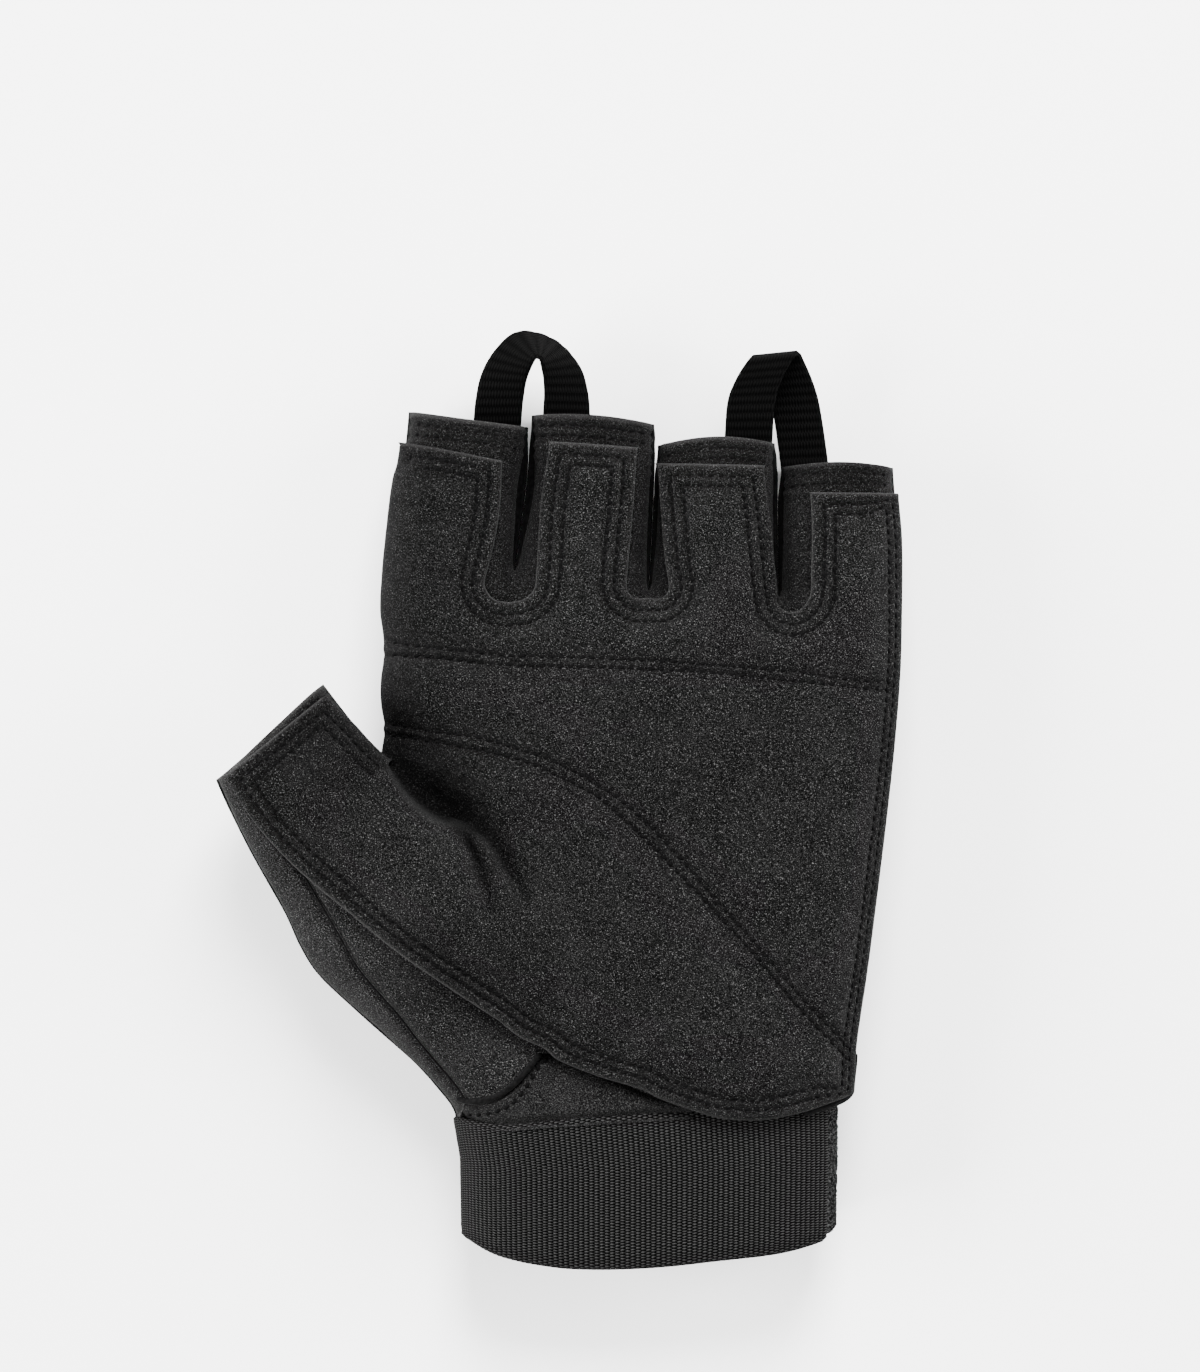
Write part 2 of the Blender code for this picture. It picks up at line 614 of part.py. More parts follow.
def palm_overlay():
    life, knuckle = smooth(in_palm(LIFE_LINE)), smooth(in_palm(KNUCKLE_LINE))
    half = np.array([0, 0.6 * PAD])
    lines = [life - half, life, life + half, knuckle - half, knuckle, knuckle + half]
    between = [1, 1, 4, 1, 1, 2]
    low, tip = 5, 5

    def border(knots, turn, trunk_point):
        # The first part runs to the thumb's level, then over the channels to the fork, then to the tip.
        path = smooth(knots)
        far = lengths(path)
        stops = [0]
        steps = []
        if trunk_point:
            stops.append(far[trunk_point * PER_SPAN])
            steps += [low, 3]
        else:
            steps += [low + 3]
        stops += [crossing(path, line) for line in lines]
        steps += between[:5]
        stops.append(far[turn * PER_SPAN])
        steps.append(2)
        stops.append(far[-1])
        steps.append(tip)
        return walk(path, stops, steps)

    def stub(finger, side):
        return [finger_point(PAD_FINGERS, finger, side + "_turn"), finger_point(PAD_FINGERS, finger, side)]

    first = [fork(PAD_FORKS, 0, "low"), fork(PAD_FORKS, 0, "level"), fork(PAD_FORKS, 0), *in_palm(PAD_LEFT)]
    borders = [border([*first, *stub(0, "left")], len(first) - 1, 2)]
    for k in range(1, 4):
        trunk = [fork(PAD_FORKS, k, "low"), fork(PAD_FORKS, k, "level"), fork(PAD_FORKS, k)]
        path = smooth(trunk)
        whole = lengths(path)[-1]
        stops = [0, *[crossing(path, line) for line in lines], whole]
        below = walk(path, stops, [low + 3, *between[:5], 2])[:-1]
        for finger, side in ((k - 1, "right"), (k, "left")):
            branch = np.concatenate([[fork(PAD_FORKS, k)], stub(finger, side)])
            borders.append(np.concatenate([below, walk(branch, [0, *lengths(branch)[1:]], [2, tip - 2])]))
    right = [*in_palm(PAD_RIGHT)]
    borders.append(border([*right, *stub(3, "right")], len(right) - 1, 0))
    outer = smooth(np.concatenate([in_palm(PAD_OUTER_LOW), in_thumb(PAD_THUMB_OUTER)]))
    inner = smooth([fork(PAD_FORKS, 0), *in_thumb(PAD_THUMB_INNER)])
    trunk = borders[0][: low + 1]
    thumb = np.concatenate([trunk[:-1], walk(inner, [0, lengths(inner)[-1]], [6])])
    columns = [(even(outer, (low, 6), 0.38), thumb, 5)]
    columns += finger_columns(borders, (6, 6, 6, 6))
    points, quads = columns_grid(columns)
    sewn = np.minimum(near_line(in_palm(LIFE_LINE), points), near_line(in_palm(KNUCKLE_LINE), points))
    thick = PAD * (1 - 0.45 * np.clip(1 - sewn / (0.6 * PAD), 0, 1))
    outside = shell(points, True, PAD_LIFT + thick)
    add("palm_overlay", closed(outside, shell(points, True, PAD_LIFT), quads), "padded_suede")


def fourchette(name, index):
    path = SIDES["gap_" + str(index)][1:-1]
    points = walk(path, [0, lengths(path)[PER_SPAN * 2], lengths(path)[-1]], [8, 8])
    _, away = away_from(path, points)
    _, seam, _, _ = heights(points)
    inside = points + away * FOURCHETTE
    sections = np.stack([
        np.column_stack([points, seam - WALL_HALF]),
        np.column_stack([points, seam + WALL_HALF]),
        np.column_stack([inside, seam + WALL_HALF]),
        np.column_stack([inside, seam - WALL_HALF]),
    ], 1)
    add(name, tube(sections), "stretch_fabric")


# The cuff.


# The band's section at a share of the way down, a loop of (x, z) from the little finger's side over the
# front.
def ring(down, inset):
    left = np.interp(down, CUFF_SIDES["down"], CUFF_SIDES["left"]) * PALM_WIDTH + inset
    right = np.interp(down, CUFF_SIDES["down"], CUFF_SIDES["right"]) * PALM_WIDTH - inset
    lowest = WEBBING + 2 * GAP + inset
    highest = CUFF_HEIGHT * HAND_HEIGHT - inset
    middle = 0.5 * (lowest + highest)
    turn = np.linspace(0, 0.5 * np.pi, 9)
    reach = CUFF_ROUND - inset
    c, s = np.cos(turn), np.sin(turn)
    front = np.column_stack([right - reach + reach * c, middle + (highest - middle) * s])
    front_left = np.column_stack([left + reach - reach * s, middle + (highest - middle) * c])
    back_left = np.column_stack([left + reach - reach * c, middle - (middle - lowest) * s])
    back = np.column_stack([right - reach + reach * s, middle - (middle - lowest) * c])
    return np.concatenate([front, front_left, back_left[1:], back, [front[0]]])


def band(start, finish, inset, thick, top, bottom, around, rows):
    wrist = in_palm(WRIST_LINE)
    sheets = []
    for depth in (inset, inset + thick):
        grid = []
        for v in np.linspace(top, bottom, rows + 1):
            loop = ring(v, depth)
            far = lengths(loop) / lengths(loop)[-1]
            s = np.linspace(start, finish, around + 1) % 1.0
            x, z = np.interp(s, far, loop[:, 0]), np.interp(s, far, loop[:, 1])
            half = 0.5 * (loop[:, 0].max() - loop[:, 0].min())
            side = (x - loop[:, 0].min() - half) / half
            front = ramp(0.25, 0.75, z / HAND_HEIGHT)
            low = np.interp(side, CUFF_LOW["across"], CUFF_LOW["front"]) * front
            low = low + np.interp(side, CUFF_LOW["across"], CUFF_LOW["back"]) * (1 - front)
            y = np.interp(x, wrist[:, 0], wrist[:, 1]) - v * low * CUFF_LENGTH
            grid.append(np.column_stack([x, y, z]))
        sheets.append(np.array(grid))
    index = np.arange((rows + 1) * (around + 1)).reshape(rows + 1, around + 1)
    quads = np.stack([index[:-1, :-1], index[:-1, 1:], index[1:, 1:], index[1:, :-1]], -1).reshape(-1, 4)
    return closed(sheets[0].reshape(-1, 3), sheets[1].reshape(-1, 3), quads)


def cuff():
    elastic = band(ELASTIC_ENDS["start"], ELASTIC_ENDS["finish"], 0, ELASTIC, 0, 1, 40, 5)
    add("cuff_elastic", elastic, "knit_elastic")
    strip = band(STRIP_ENDS["start"], STRIP_ENDS["finish"], ELASTIC + GAP, FABRIC, 0.0, 0.97, 16, 4)
    add("loop_strip", strip, "fuzzy_loop")


def closure_tab():
    wrist = in_palm(WRIST_LINE)
    middle = ring(0.5, 0)
    right = middle[:, 0].max() - CUFF_ROUND
    x = np.linspace(right - TAB_LENGTH, right, 9)
    top = np.interp(x, wrist[:, 0], wrist[:, 1]) - 0.06 * CUFF_LENGTH
    low = top - 0.76 * CUFF_LENGTH
    sections = np.stack([
        np.column_stack([x, top, 0 * x]),
        np.column_stack([x, low, 0 * x]),
        np.column_stack([x, low, 0 * x + WEBBING]),
        np.column_stack([x, top, 0 * x + WEBBING]),
    ], 1)
    add("closure_tab", tube(sections), "hook_tape")


# The pull loops.


def pull_loop(name, rows):
    y = 0.5 * PALM_LENGTH + FINGER_LENGTH + rows["y"] * LOOP_HEIGHT
    places = [rows["x"] * PALM_WIDTH, y, rows["z"] * HAND_HEIGHT]
    knots = np.column_stack([*places, rows["wx"], rows["wy"], rows["wz"]])
    path = smooth(knots)[:: PER_SPAN // 4]
    centre = path[:, :3]
    run = np.gradient(centre, axis=0)
    run /= np.linalg.norm(run, axis=1)[:, None]
    wide = path[:, 3:] - (path[:, 3:] * run).sum(1)[:, None] * run
    wide *= 0.5 * WEBBING_WIDTH / np.linalg.norm(wide, axis=1)[:, None]
    thick = np.cross(wide, run)
    thick *= 0.5 * WEBBING / np.linalg.norm(thick, axis=1)[:, None]
    corners = [centre - wide - thick, centre + wide - thick, centre + wide + thick, centre - wide + thick]
    sections = np.stack(corners, 1)
    add(name, tube(sections), "webbing")


palm_panel()
palm_overlay()
thumb_side_panel()
back_panel()
fourchette("fourchette_index_middle", 1)
fourchette("fourchette_middle_ring", 2)
fourchette("fourchette_ring_little", 3)
heel_gusset()
cuff()
closure_tab()
pull_loop("pull_loop_index_middle", LOOP_INDEX_MIDDLE)
pull_loop("pull_loop_ring_little", LOOP_RING_LITTLE)
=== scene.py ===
import json
import bpy
import numpy as np
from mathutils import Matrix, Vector

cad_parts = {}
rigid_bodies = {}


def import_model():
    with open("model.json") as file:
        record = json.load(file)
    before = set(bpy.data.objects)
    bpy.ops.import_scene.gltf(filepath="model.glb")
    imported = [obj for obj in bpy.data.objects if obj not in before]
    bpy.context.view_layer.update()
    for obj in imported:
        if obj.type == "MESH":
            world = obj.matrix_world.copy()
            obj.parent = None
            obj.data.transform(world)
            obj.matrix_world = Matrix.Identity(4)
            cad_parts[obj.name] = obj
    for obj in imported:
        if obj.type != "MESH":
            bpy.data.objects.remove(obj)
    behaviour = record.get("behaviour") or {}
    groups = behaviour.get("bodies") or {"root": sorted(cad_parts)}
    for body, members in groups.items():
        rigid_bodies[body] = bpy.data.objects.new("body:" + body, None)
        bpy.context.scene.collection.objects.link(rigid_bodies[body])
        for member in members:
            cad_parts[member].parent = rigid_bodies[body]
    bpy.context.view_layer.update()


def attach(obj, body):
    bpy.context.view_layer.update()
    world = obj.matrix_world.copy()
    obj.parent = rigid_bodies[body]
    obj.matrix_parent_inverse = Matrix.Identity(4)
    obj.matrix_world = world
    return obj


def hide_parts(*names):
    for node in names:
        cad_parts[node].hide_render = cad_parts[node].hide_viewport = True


for old in list(bpy.data.objects):
    bpy.data.objects.remove(old)
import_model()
print("frame loaded")

# Places are read off a picture of 1200 x 1372 pixels that looks straight down on the palm.
picture = {"perMetre": 4900.0, "zeroX": 642.0, "zeroY": 850.0}
glove = {
    "handHigh": 0.0245, "palmLong": 0.107, "thumbRise": 0.014, "palmRound": 0.0147, "fingerRound": 0.0098,
    "thumbRound": 0.013, "wallHalf": 0.0029, "seamShare": 0.5, "seamOpen": 0.00015, "fabric": 0.0015,
    "padLift": 0.0008, "pad": 0.0014,
}


def plan(points):
    # picture pixels to metres in the glove's plan
    across, down = np.array(points, float).T
    return np.column_stack([across - picture["zeroX"], picture["zeroY"] - down]) / picture["perMetre"]


def smooth(knots, per=12):
    # Catmull-Rom curve through the knots, per points to each span
    k = np.array(knots, float)
    p = np.concatenate([[2 * k[0] - k[1]], k, [2 * k[-1] - k[-2]]])
    a, b, c, d = p[:-3, None], p[1:-2, None], p[2:-1, None], p[3:, None]
    t = (np.arange(per) / per)[None, :, None]
    spans = 0.5 * (2 * b + (c - a) * t + (2 * a - 5 * b + 4 * c - d) * t**2 + (3 * b - a - 3 * c + d) * t**3)
    return np.concatenate([spans.reshape(-1, k.shape[1]), k[-1:]])


def lengths(path):
    # the length walked at each point of a path: the running sum of its steps
    return np.concatenate([[0], np.cumsum(np.linalg.norm(np.diff(path, axis=0), axis=1))])


def along(path, s):
    # points of a path at the lengths s
    far = lengths(path)
    return np.stack([np.interp(s, far, path[:, k]) for k in range(path.shape[1])], -1)


def evenly(path, steps):
    # a path cut into equal steps
    return along(path, np.linspace(0, lengths(path)[-1], steps + 1))


def ramp(low, high, value):
    # smooth step from 0 at low to 1 at high
    t = np.clip((value - low) / (high - low), 0, 1)
    return t * t * (3 - 2 * t)


def bell(far, wide):
    # 1 on a line and falling off beside it: exp(-(far / wide)^2)
    return np.exp(-((far / wide) ** 2))


def rounded(near):
    # how far a quarter circle has dropped at shares of its way, from 0 at its inner end to 1 at its edge
    return 1 - np.sqrt(1 - np.clip(near, 0, 1) ** 2)


def pathDistance(paths, points, limit=0.016, tile=0.008):
    # Distance to the nearest stretch of the paths, its length along its path, the way straight off it, its
    # path's number and the way to the path's right. Points are tried by square tiles, against what is near.
    paths = paths if isinstance(paths, list) else [paths]
    a, b = np.concatenate([p[:-1] for p in paths]), np.concatenate([p[1:] for p in paths])
    run = b - a
    span = np.maximum((run * run).sum(1), 1e-18)
    side = np.stack([run[:, 1], -run[:, 0]], 1) / np.sqrt(span)[:, None]
    sides = np.split(side, np.cumsum([len(p) - 1 for p in paths])[:-1])
    first = np.concatenate([np.concatenate([s[:1], s[:-1] + s[1:]]) for s in sides])
    last = np.concatenate([np.concatenate([s[:-1] + s[1:], s[-1:]]) for s in sides])
    start = np.concatenate([lengths(p)[:-1] for p in paths])
    number = np.concatenate([np.full(len(p) - 1, k) for k, p in enumerate(paths)])
    low, high = np.minimum(a, b) - limit, np.maximum(a, b) + limit
    n, touching = len(points), 5e-5
    far, at, which = np.full(n, limit), np.zeros(n), np.zeros(n, int)
    way, facing = np.zeros((n, 2)), np.zeros((n, 2))
    cell = np.floor(points / tile).astype(int) @ [1, 4096]
    order = np.argsort(cell, kind="stable")
    for rows in np.split(order, np.where(np.diff(cell[order]))[0] + 1):
        p = points[rows]
        near = np.where(((low < p.max(0)) & (high > p.min(0))).all(1))[0]
        if not len(near):
            continue
        t = np.clip(((p[:, None] - a[near]) * run[near]).sum(2) / span[near], 0, 1)
        off = p[:, None] - (a[near] + t[..., None] * run[near])
        gap = np.sqrt((off * off).sum(2))
        k = gap.argmin(1)
        here = np.arange(len(p))
        t, gap, off, best = t[here, k], gap[here, k], off[here, k], near[k]
        facing[rows] = first[best] * (1 - t[:, None]) + last[best] * t[:, None]
        way[rows] = np.where((gap < touching)[:, None], facing[rows], off)
        far[rows] = np.where(gap < touching, 0, np.minimum(gap, limit))
        at[rows] = start[best] + t * np.sqrt(span[best])
        which[rows] = number[best]
    way, facing = (v / np.maximum(np.linalg.norm(v, axis=1), 1e-12)[:, None] for v in (way, facing))
    return far, at, way, which, facing


# The glove's outline in plan, each part with the glove on its right.
edges = {
    "outer": [
        (456, 1330), (456, 1210), (456, 1155), (456, 1126), (453, 1109), (438, 1089), (420, 1069),
        (400, 1050), (345, 1001), (316, 972), (300, 946), (285, 912), (262, 870), (240, 826),
        (219, 779), (190, 700),
    ],
    "inner": [
        (270, 610), (325, 684), (358, 727), (380, 754), (390, 765), (391, 752), (390, 700), (389, 640),
        (390, 583), (400, 490), (408, 411), (412, 330),
    ],
    "ulnar": [
        (892, 400), (894, 467), (899, 533), (900, 598), (898, 670), (891, 755), (880, 850), (865, 965),
        (854, 1040), (848, 1097), (848, 1160), (848, 1330),
    ],
    "gap1": [(529, 350), (528, 427), (519, 498), (515, 568), (531, 491), (531.5, 415), (531, 345)],
    "gap2": [(654.5, 350), (654.5, 424), (651, 506), (649, 588), (655, 517), (658, 445), (658, 370)],
    "gap3": [(775, 370), (775, 443), (775, 518), (779, 594), (781, 530), (782, 467), (782, 390)],
}
forks = {"gap1": 3, "gap2": 3, "gap3": 3}


def edgePath(name):
    # a smooth outline; a gap is two smooth sides that meet at its fork
    knots = plan(edges[name])
    if name not in forks:
        return smooth(knots)
    k = forks[name]
    return np.concatenate([smooth(knots[:k + 1]), smooth(knots[k:])[1:]])


outline = {name: edgePath(name) for name in edges}


def stretch(name, first, last):
    # the part of an outline between the points nearest to two places in the picture, in that order
    path = outline[name]
    at = pathDistance(path, plan([first, last]))[1]
    return along(path, np.linspace(at[0], at[1], 400))


# The thumb stands up from the palm, from its crotch along and across its own directions.
thumb = {
    "crotch": plan([(440, 814)])[0], "along": np.array([-0.662, 0.749]), "across": np.array([-0.749, -0.662]),
    "long": 0.0354, "wide": 0.0289, "rise": (-0.25, 1.15), "side": (-0.3, 0.12), "top": 0.66, "seam": 0.84,
}
# Shares of the palm's height along the hand, in shares of its length. Then the mound and the hollow of the
# palm: middle, half widths and share of the height.
heightTable = {
    "y": [-0.80, -0.50, -0.20, 0.05, 0.35, 0.50, 0.66, 0.84],
    "z": [0.96, 1.0, 1.04, 1.0, 0.97, 0.88, 0.78, 0.73],
}
mounds = [
    {"x": -0.0423, "y": -0.0107, "wide": 0.0211, "long": 0.0214, "high": 0.34},
    {"x": 0.0021, "y": -0.0064, "wide": 0.0275, "long": 0.0278, "high": -0.10},
]
# Folds in the suede beside the thumb: how deep along the line, how wide on the palm's and the thumb's side in
# millimetres, and how dark the painted shade in them is.
folds = [
    {
        "line": [
            (390, 766), (402, 782), (415, 797), (431, 809), (446, 816), (462, 818), (478, 827), (493, 840),
            (510, 868), (523, 893), (531, 915),
        ],
        "deep": [1.00, 1.15, 1.20, 1.20, 1.10, 0.85, 0.55, 0.42, 0.34, 0.20, 0.0],
        "palm": [8.5, 8.5, 8.5, 8.5, 8.0, 6.5, 4.5, 3.2, 2.6, 2.2, 2.0],
        "thumb": [1.0, 1.0, 1.0, 1.0, 1.0, 1.1, 1.3, 1.4, 1.5, 1.6, 1.6],
        "dark": [0.75, 0.85, 0.95, 1.0, 1.0, 1.0, 0.85, 0.75, 0.65, 0.4, 0.0],
    },
    {
        "line": [(458, 820), (468, 836), (479, 861), (488, 893), (496, 925)],
        "deep": [0.10, 0.34, 0.34, 0.24, 0.0], "palm": [1.5, 1.5, 1.6, 1.7, 1.7],
        "thumb": [1.5, 1.7, 1.8, 1.8, 1.8], "dark": [0.5, 0.7, 0.6, 0.35, 0.0],
    },
    {
        "line": [(398, 985), (418, 999), (440, 1005), (464, 1004)], "deep": [0.0, 0.09, 0.09, 0.0],
        "palm": [1.8, 1.8, 1.8, 1.8], "thumb": [1.8, 1.8, 1.8, 1.8], "dark": [0.0, 0.35, 0.35, 0.0],
    },
]
foldDeep = 0.0080
# Painted shade round the thumb's crotch, by the index finger and in the folds: how strong, and how wide in
# metres.
shade = {
    "crotch": 0.50, "crotchWide": (0.016, 0.014),
    "index": 0.45, "indexWide": 0.016, "indexFrom": (-0.005, 0.02), "foldShare": 0.45, "foldLeast": 0.0004,
}


def foldAt(fold, p):
    # a fold's depth, width, darkness and distance at plan points
    line = plan(fold["line"])
    far, at, way = pathDistance(smooth(line), p)[:3]
    marks = lengths(line) * lengths(smooth(line))[-1] / lengths(line)[-1]
    columns = ("deep", "palm", "thumb", "dark")
    deep, palmSide, thumbSide, dark = (np.interp(at, marks, fold[key]) for key in columns)
    return deep, np.where(way.sum(1) > 0, palmSide, thumbSide) / 1000, dark, far


def foldShade(p):
    # painted shade: dark in the folds, and a little darker all round the crotch of the thumb and by the index
    # finger's side
    c = shade
    onPalm = (p - thumb["crotch"]) @ thumb["across"] < 0
    total = c["crotch"] * bell(np.linalg.norm((p - thumb["crotch"]) / c["crotchWide"], axis=1), 1) * onPalm
    beside = pathDistance(outline["inner"], p, 0.03)[0]
    total = total + c["index"] * bell(beside, c["indexWide"]) * ramp(*c["indexFrom"], p[:, 1])
    for fold in folds:
        _, wide, dark, far = foldAt(fold, p)
        total = total + dark * bell(far, c["foldShare"] * wide + c["foldLeast"])
    return np.clip(total, 0, 1)


def heights(p):
    # top, seam and bottom heights of the glove at plan points, and how far in its edge is rounded
    y = p[:, 1] / glove["palmLong"]
    top = glove["handHigh"] * np.interp(y, heightTable["y"], heightTable["z"])
    seam = glove["seamShare"] * top
    off = p - thumb["crotch"]
    onThumb = ramp(*thumb["side"], off @ thumb["across"] / thumb["wide"])
    rise = glove["thumbRise"] * ramp(*thumb["rise"], off @ thumb["along"] / thumb["long"]) * onThumb
    for m in mounds:
        swell = bell((p[:, 0] - m["x"]) / m["wide"], 1) * bell((p[:, 1] - m["y"]) / m["long"], 1)
        top = top + glove["handHigh"] * m["high"] * swell
    top = top + thumb["top"] * rise
    for fold in folds:
        deep, wide, _, far = foldAt(fold, p)
        top = top - foldDeep * deep * bell(far, wide)
    narrow = ramp(0.3, 0.55, y) * (1 - onThumb)
    reach = glove["palmRound"] + (glove["fingerRound"] - glove["palmRound"]) * narrow
    return top, seam + thumb["seam"] * rise, rise, np.minimum(reach, glove["thumbRound"])


def sideOf(p):
    # points put back inside the outline, their distance from it, the way in and whether it is a finger gap
    far, _, way, which, facing = pathDistance(list(outline.values()), p)
    outside = (way * facing).sum(1) < 0
    p = np.where(outside[:, None], p - way * far[:, None], p)
    far, way = np.where(outside, 0, far), np.where(outside[:, None], facing, way)
    return p, far, way, np.array([n.startswith("gap") for n in outline])[which]


class Ground:
    # the glove's surface over fixed plan points, worked out once and lifted many times
    def __init__(self, p):
        self.p, self.far, self.away, self.wall = sideOf(p)
        self.top, self.seam, self.bottom, self.reach = heights(self.p)

    def skin(self, lift, front=True):
        # a quarter ellipse in from the outline, moved outwards by lift
        inward = np.clip(1 - self.far / self.reach, 0, 1)
        up = np.sqrt(1 - inward**2)
        flat = self.p - self.away * (lift * inward)[:, None]
        wall = np.where(self.wall, glove["wallHalf"], 0) + glove["seamOpen"]
        if front:
            base = self.seam + wall
            z = base + (self.top + lift - base) * up
        else:
            base = self.seam - wall
            z = base - (base - self.bottom + lift) * up
        return np.column_stack([flat, z])


def makeMesh(name, points, faces, smoothAngle=50, values=None, uv=None):
    # a mesh object at the origin with its place in its points, faces outwards, named values and a flat map
    mesh = bpy.data.meshes.new(name)
    points = np.asarray(points, np.float64)
    groups = faces if isinstance(faces, list) else [faces]
    loops = np.concatenate([g.reshape(-1) for g in groups]).astype(np.int32)
    sizes = np.concatenate([np.full(len(g), g.shape[1]) for g in groups]).astype(np.int32)
    mesh.vertices.add(len(points))
    mesh.vertices.foreach_set("co", points.reshape(-1).astype(np.float32))
    mesh.loops.add(len(loops))
    mesh.loops.foreach_set("vertex_index", loops)
    mesh.polygons.add(len(sizes))
    mesh.polygons.foreach_set("loop_start", np.concatenate([[0], np.cumsum(sizes)[:-1]]).astype(np.int32))
    mesh.polygons.foreach_set("use_smooth", np.ones(len(sizes), bool))
    mesh.update(calc_edges=True)
    mesh.validate()
    if uv is not None:
        corners = np.empty(len(mesh.loops), np.int32)
        mesh.loops.foreach_get("vertex_index", corners)
        layer = mesh.uv_layers.new(name="flat")
        layer.data.foreach_set("uv", np.asarray(uv, np.float32)[corners].reshape(-1))
    centres = np.zeros(len(mesh.polygons) * 3)
    normals = np.zeros(len(mesh.polygons) * 3)
    areas = np.zeros(len(mesh.polygons))
    mesh.polygons.foreach_get("center", centres)
    mesh.polygons.foreach_get("normal", normals)
    mesh.polygons.foreach_get("area", areas)
    if (centres * normals).reshape(-1, 3).sum(1) @ areas < 0:
        mesh.flip_normals()
    if smoothAngle:
        mesh.set_sharp_from_angle(angle=np.radians(smoothAngle))
    for key, value in (values or {}).items():
        layer = mesh.attributes.new(key, "FLOAT", "POINT")
        layer.data.foreach_set("value", np.asarray(value, np.float32))
    piece = bpy.data.objects.new(name, mesh)
    bpy.context.collection.objects.link(piece)
    return piece


def gridFaces(rows, columns, wrap=False):
    # a grid's quads, point number = row * columns + column; wrap closes each row into a ring
    index = np.arange(rows * columns).reshape(rows, columns)
    if wrap:
        index = np.concatenate([index, index[:, :1]], 1)
    return np.stack([index[:-1, :-1], index[:-1, 1:], index[1:, 1:], index[1:, :-1]], -1).reshape(-1, 4)


def joinColumns(columns):
    # ruled grids between neighbouring borders, with the points they share made one
    points, quads, start = [], [], 0
    for left, right, count in columns:
        u = (np.arange(count + 1) / count)[None, :, None]
        points.append((left[:, None] * (1 - u) + right[:, None] * u).reshape(-1, 2))
        quads.append(start + gridFaces(len(left), count + 1))
        start += len(left) * (count + 1)
    points = np.concatenate(points)
    places = np.round(points / 1e-7).astype(np.int64)
    _, first, weld = np.unique(places, axis=0, return_index=True, return_inverse=True)
    return points[first], weld.reshape(-1)[np.concatenate(quads)]


def openEdges(quads, count):
    # directed edges that only one face uses
    pairs = np.concatenate([quads[:, [k, (k + 1) % 4]] for k in range(4)])
    return pairs[~np.isin(pairs[:, 0] * count + pairs[:, 1], pairs[:, 1] * count + pairs[:, 0])]


def closedSheets(outer, inner, quads):
    # two matching sheets with their open edges joined
    n = len(outer)
    rim = openEdges(quads, n)
    sides = np.column_stack([rim[:, 1], rim[:, 0], rim[:, 0] + n, rim[:, 1] + n])
    return np.concatenate([outer, inner]), np.concatenate([quads, quads[:, ::-1] + n, sides])


def rimPath(points, quads):
    # the open edge as one closed path of plan points; each pass doubles the stretch walked so far
    rim = openEdges(quads, len(points))
    jump = np.arange(len(points))
    jump[rim[:, 0]] = rim[:, 1]
    order = rim[:1, 0]
    while len(order) < len(rim):
        order = np.concatenate([order, jump[order]])
        jump = jump[jump]
    return points[np.append(order[:len(rim)], order[0])]


def bordersFrom(table, rows):
    # Each border is sampled evenly within each of its stretches; rows gives the steps of each stretch.
    # The last stretch is a curve of its own, so that borders can share all of the others.
    made = []
    for knots, cuts in table:
        knots = plan(knots)
        path = np.concatenate([smooth(knots[:cuts[-1] + 1], 16)[:-1], smooth(knots[cuts[-1]:], 16)])
        marks = [0] + [c * 16 for c in cuts] + [len(path) - 1]
        parts = [evenly(path[a:b + 1], n)[:-1] for a, b, n in zip(marks, marks[1:], rows)]
        made.append(np.concatenate(parts + [path[-1:]]))
    return made


def bendLower(points, row, edge, reach=0.022):
    # moves the straight lower row onto a curved edge, fading out upwards
    straight = np.interp(points[:, 0], row[:, 0], row[:, 1])
    curved = np.interp(points[:, 0], edge[:, 0], edge[:, 1])
    weight = np.clip(1 - (points[:, 1] - straight) / reach, 0, 1)
    inside = (points[:, 0] >= row[0, 0]) & (points[:, 0] <= row[-1, 0])
    return points + np.column_stack([0 * weight, np.where(inside, (curved - straight) * weight, 0)])


def ripple(p, size, seed):
    # slow waves that never repeat, from a few crossed sines
    r = np.random.default_rng(seed)
    total = np.zeros(len(p))
    for _ in range(7):
        angle, phase, scale = r.uniform(0, np.pi), r.uniform(0, 6.28), size * r.uniform(0.6, 1.6)
        total += np.sin((p[:, 0] * np.cos(angle) + p[:, 1] * np.sin(angle)) * 6.283 / scale + phase)
    return total / 7


# Materials. A Wire is a socket, and sums on it add Math nodes.
def join(tree, slot, value):
    # what a socket holds: a link from a Wire, or a plain value
    if isinstance(value, Wire):
        tree.links.new(value.socket, slot)
    else:
        slot.default_value = value


def addNode(tree, kind, settings=None, values=None, out=0):
    # any node: its settings first, then what its sockets hold
    node = tree.nodes.new(kind)
    for key, value in (settings or {}).items():
        setattr(node, key, value)
    for key, value in (values or {}).items():
        join(tree, node.inputs[key], value)
    return Wire(tree, node.outputs[out])


class Wire:
    def __init__(self, tree, socket):
        self.tree = tree
        self.socket = socket

    def math(self, operation, *others):
        # one Math node with this Wire first
        values = dict(enumerate((self,) + others))
        return addNode(self.tree, "ShaderNodeMath", {"operation": operation}, values)

    def __add__(self, other):
        return self.math("ADD", other)

    def __mul__(self, other):
        return self.math("MULTIPLY", other)

    __radd__ = __add__
    __rmul__ = __mul__

    def between(self, low, high):
        # smooth step from 0 at low to 1 at high
        settings = {"interpolation_type": "SMOOTHSTEP"}
        values = {"Value": self, "From Min": low, "From Max": high}
        return addNode(self.tree, "ShaderNodeMapRange", settings, values, "Result")


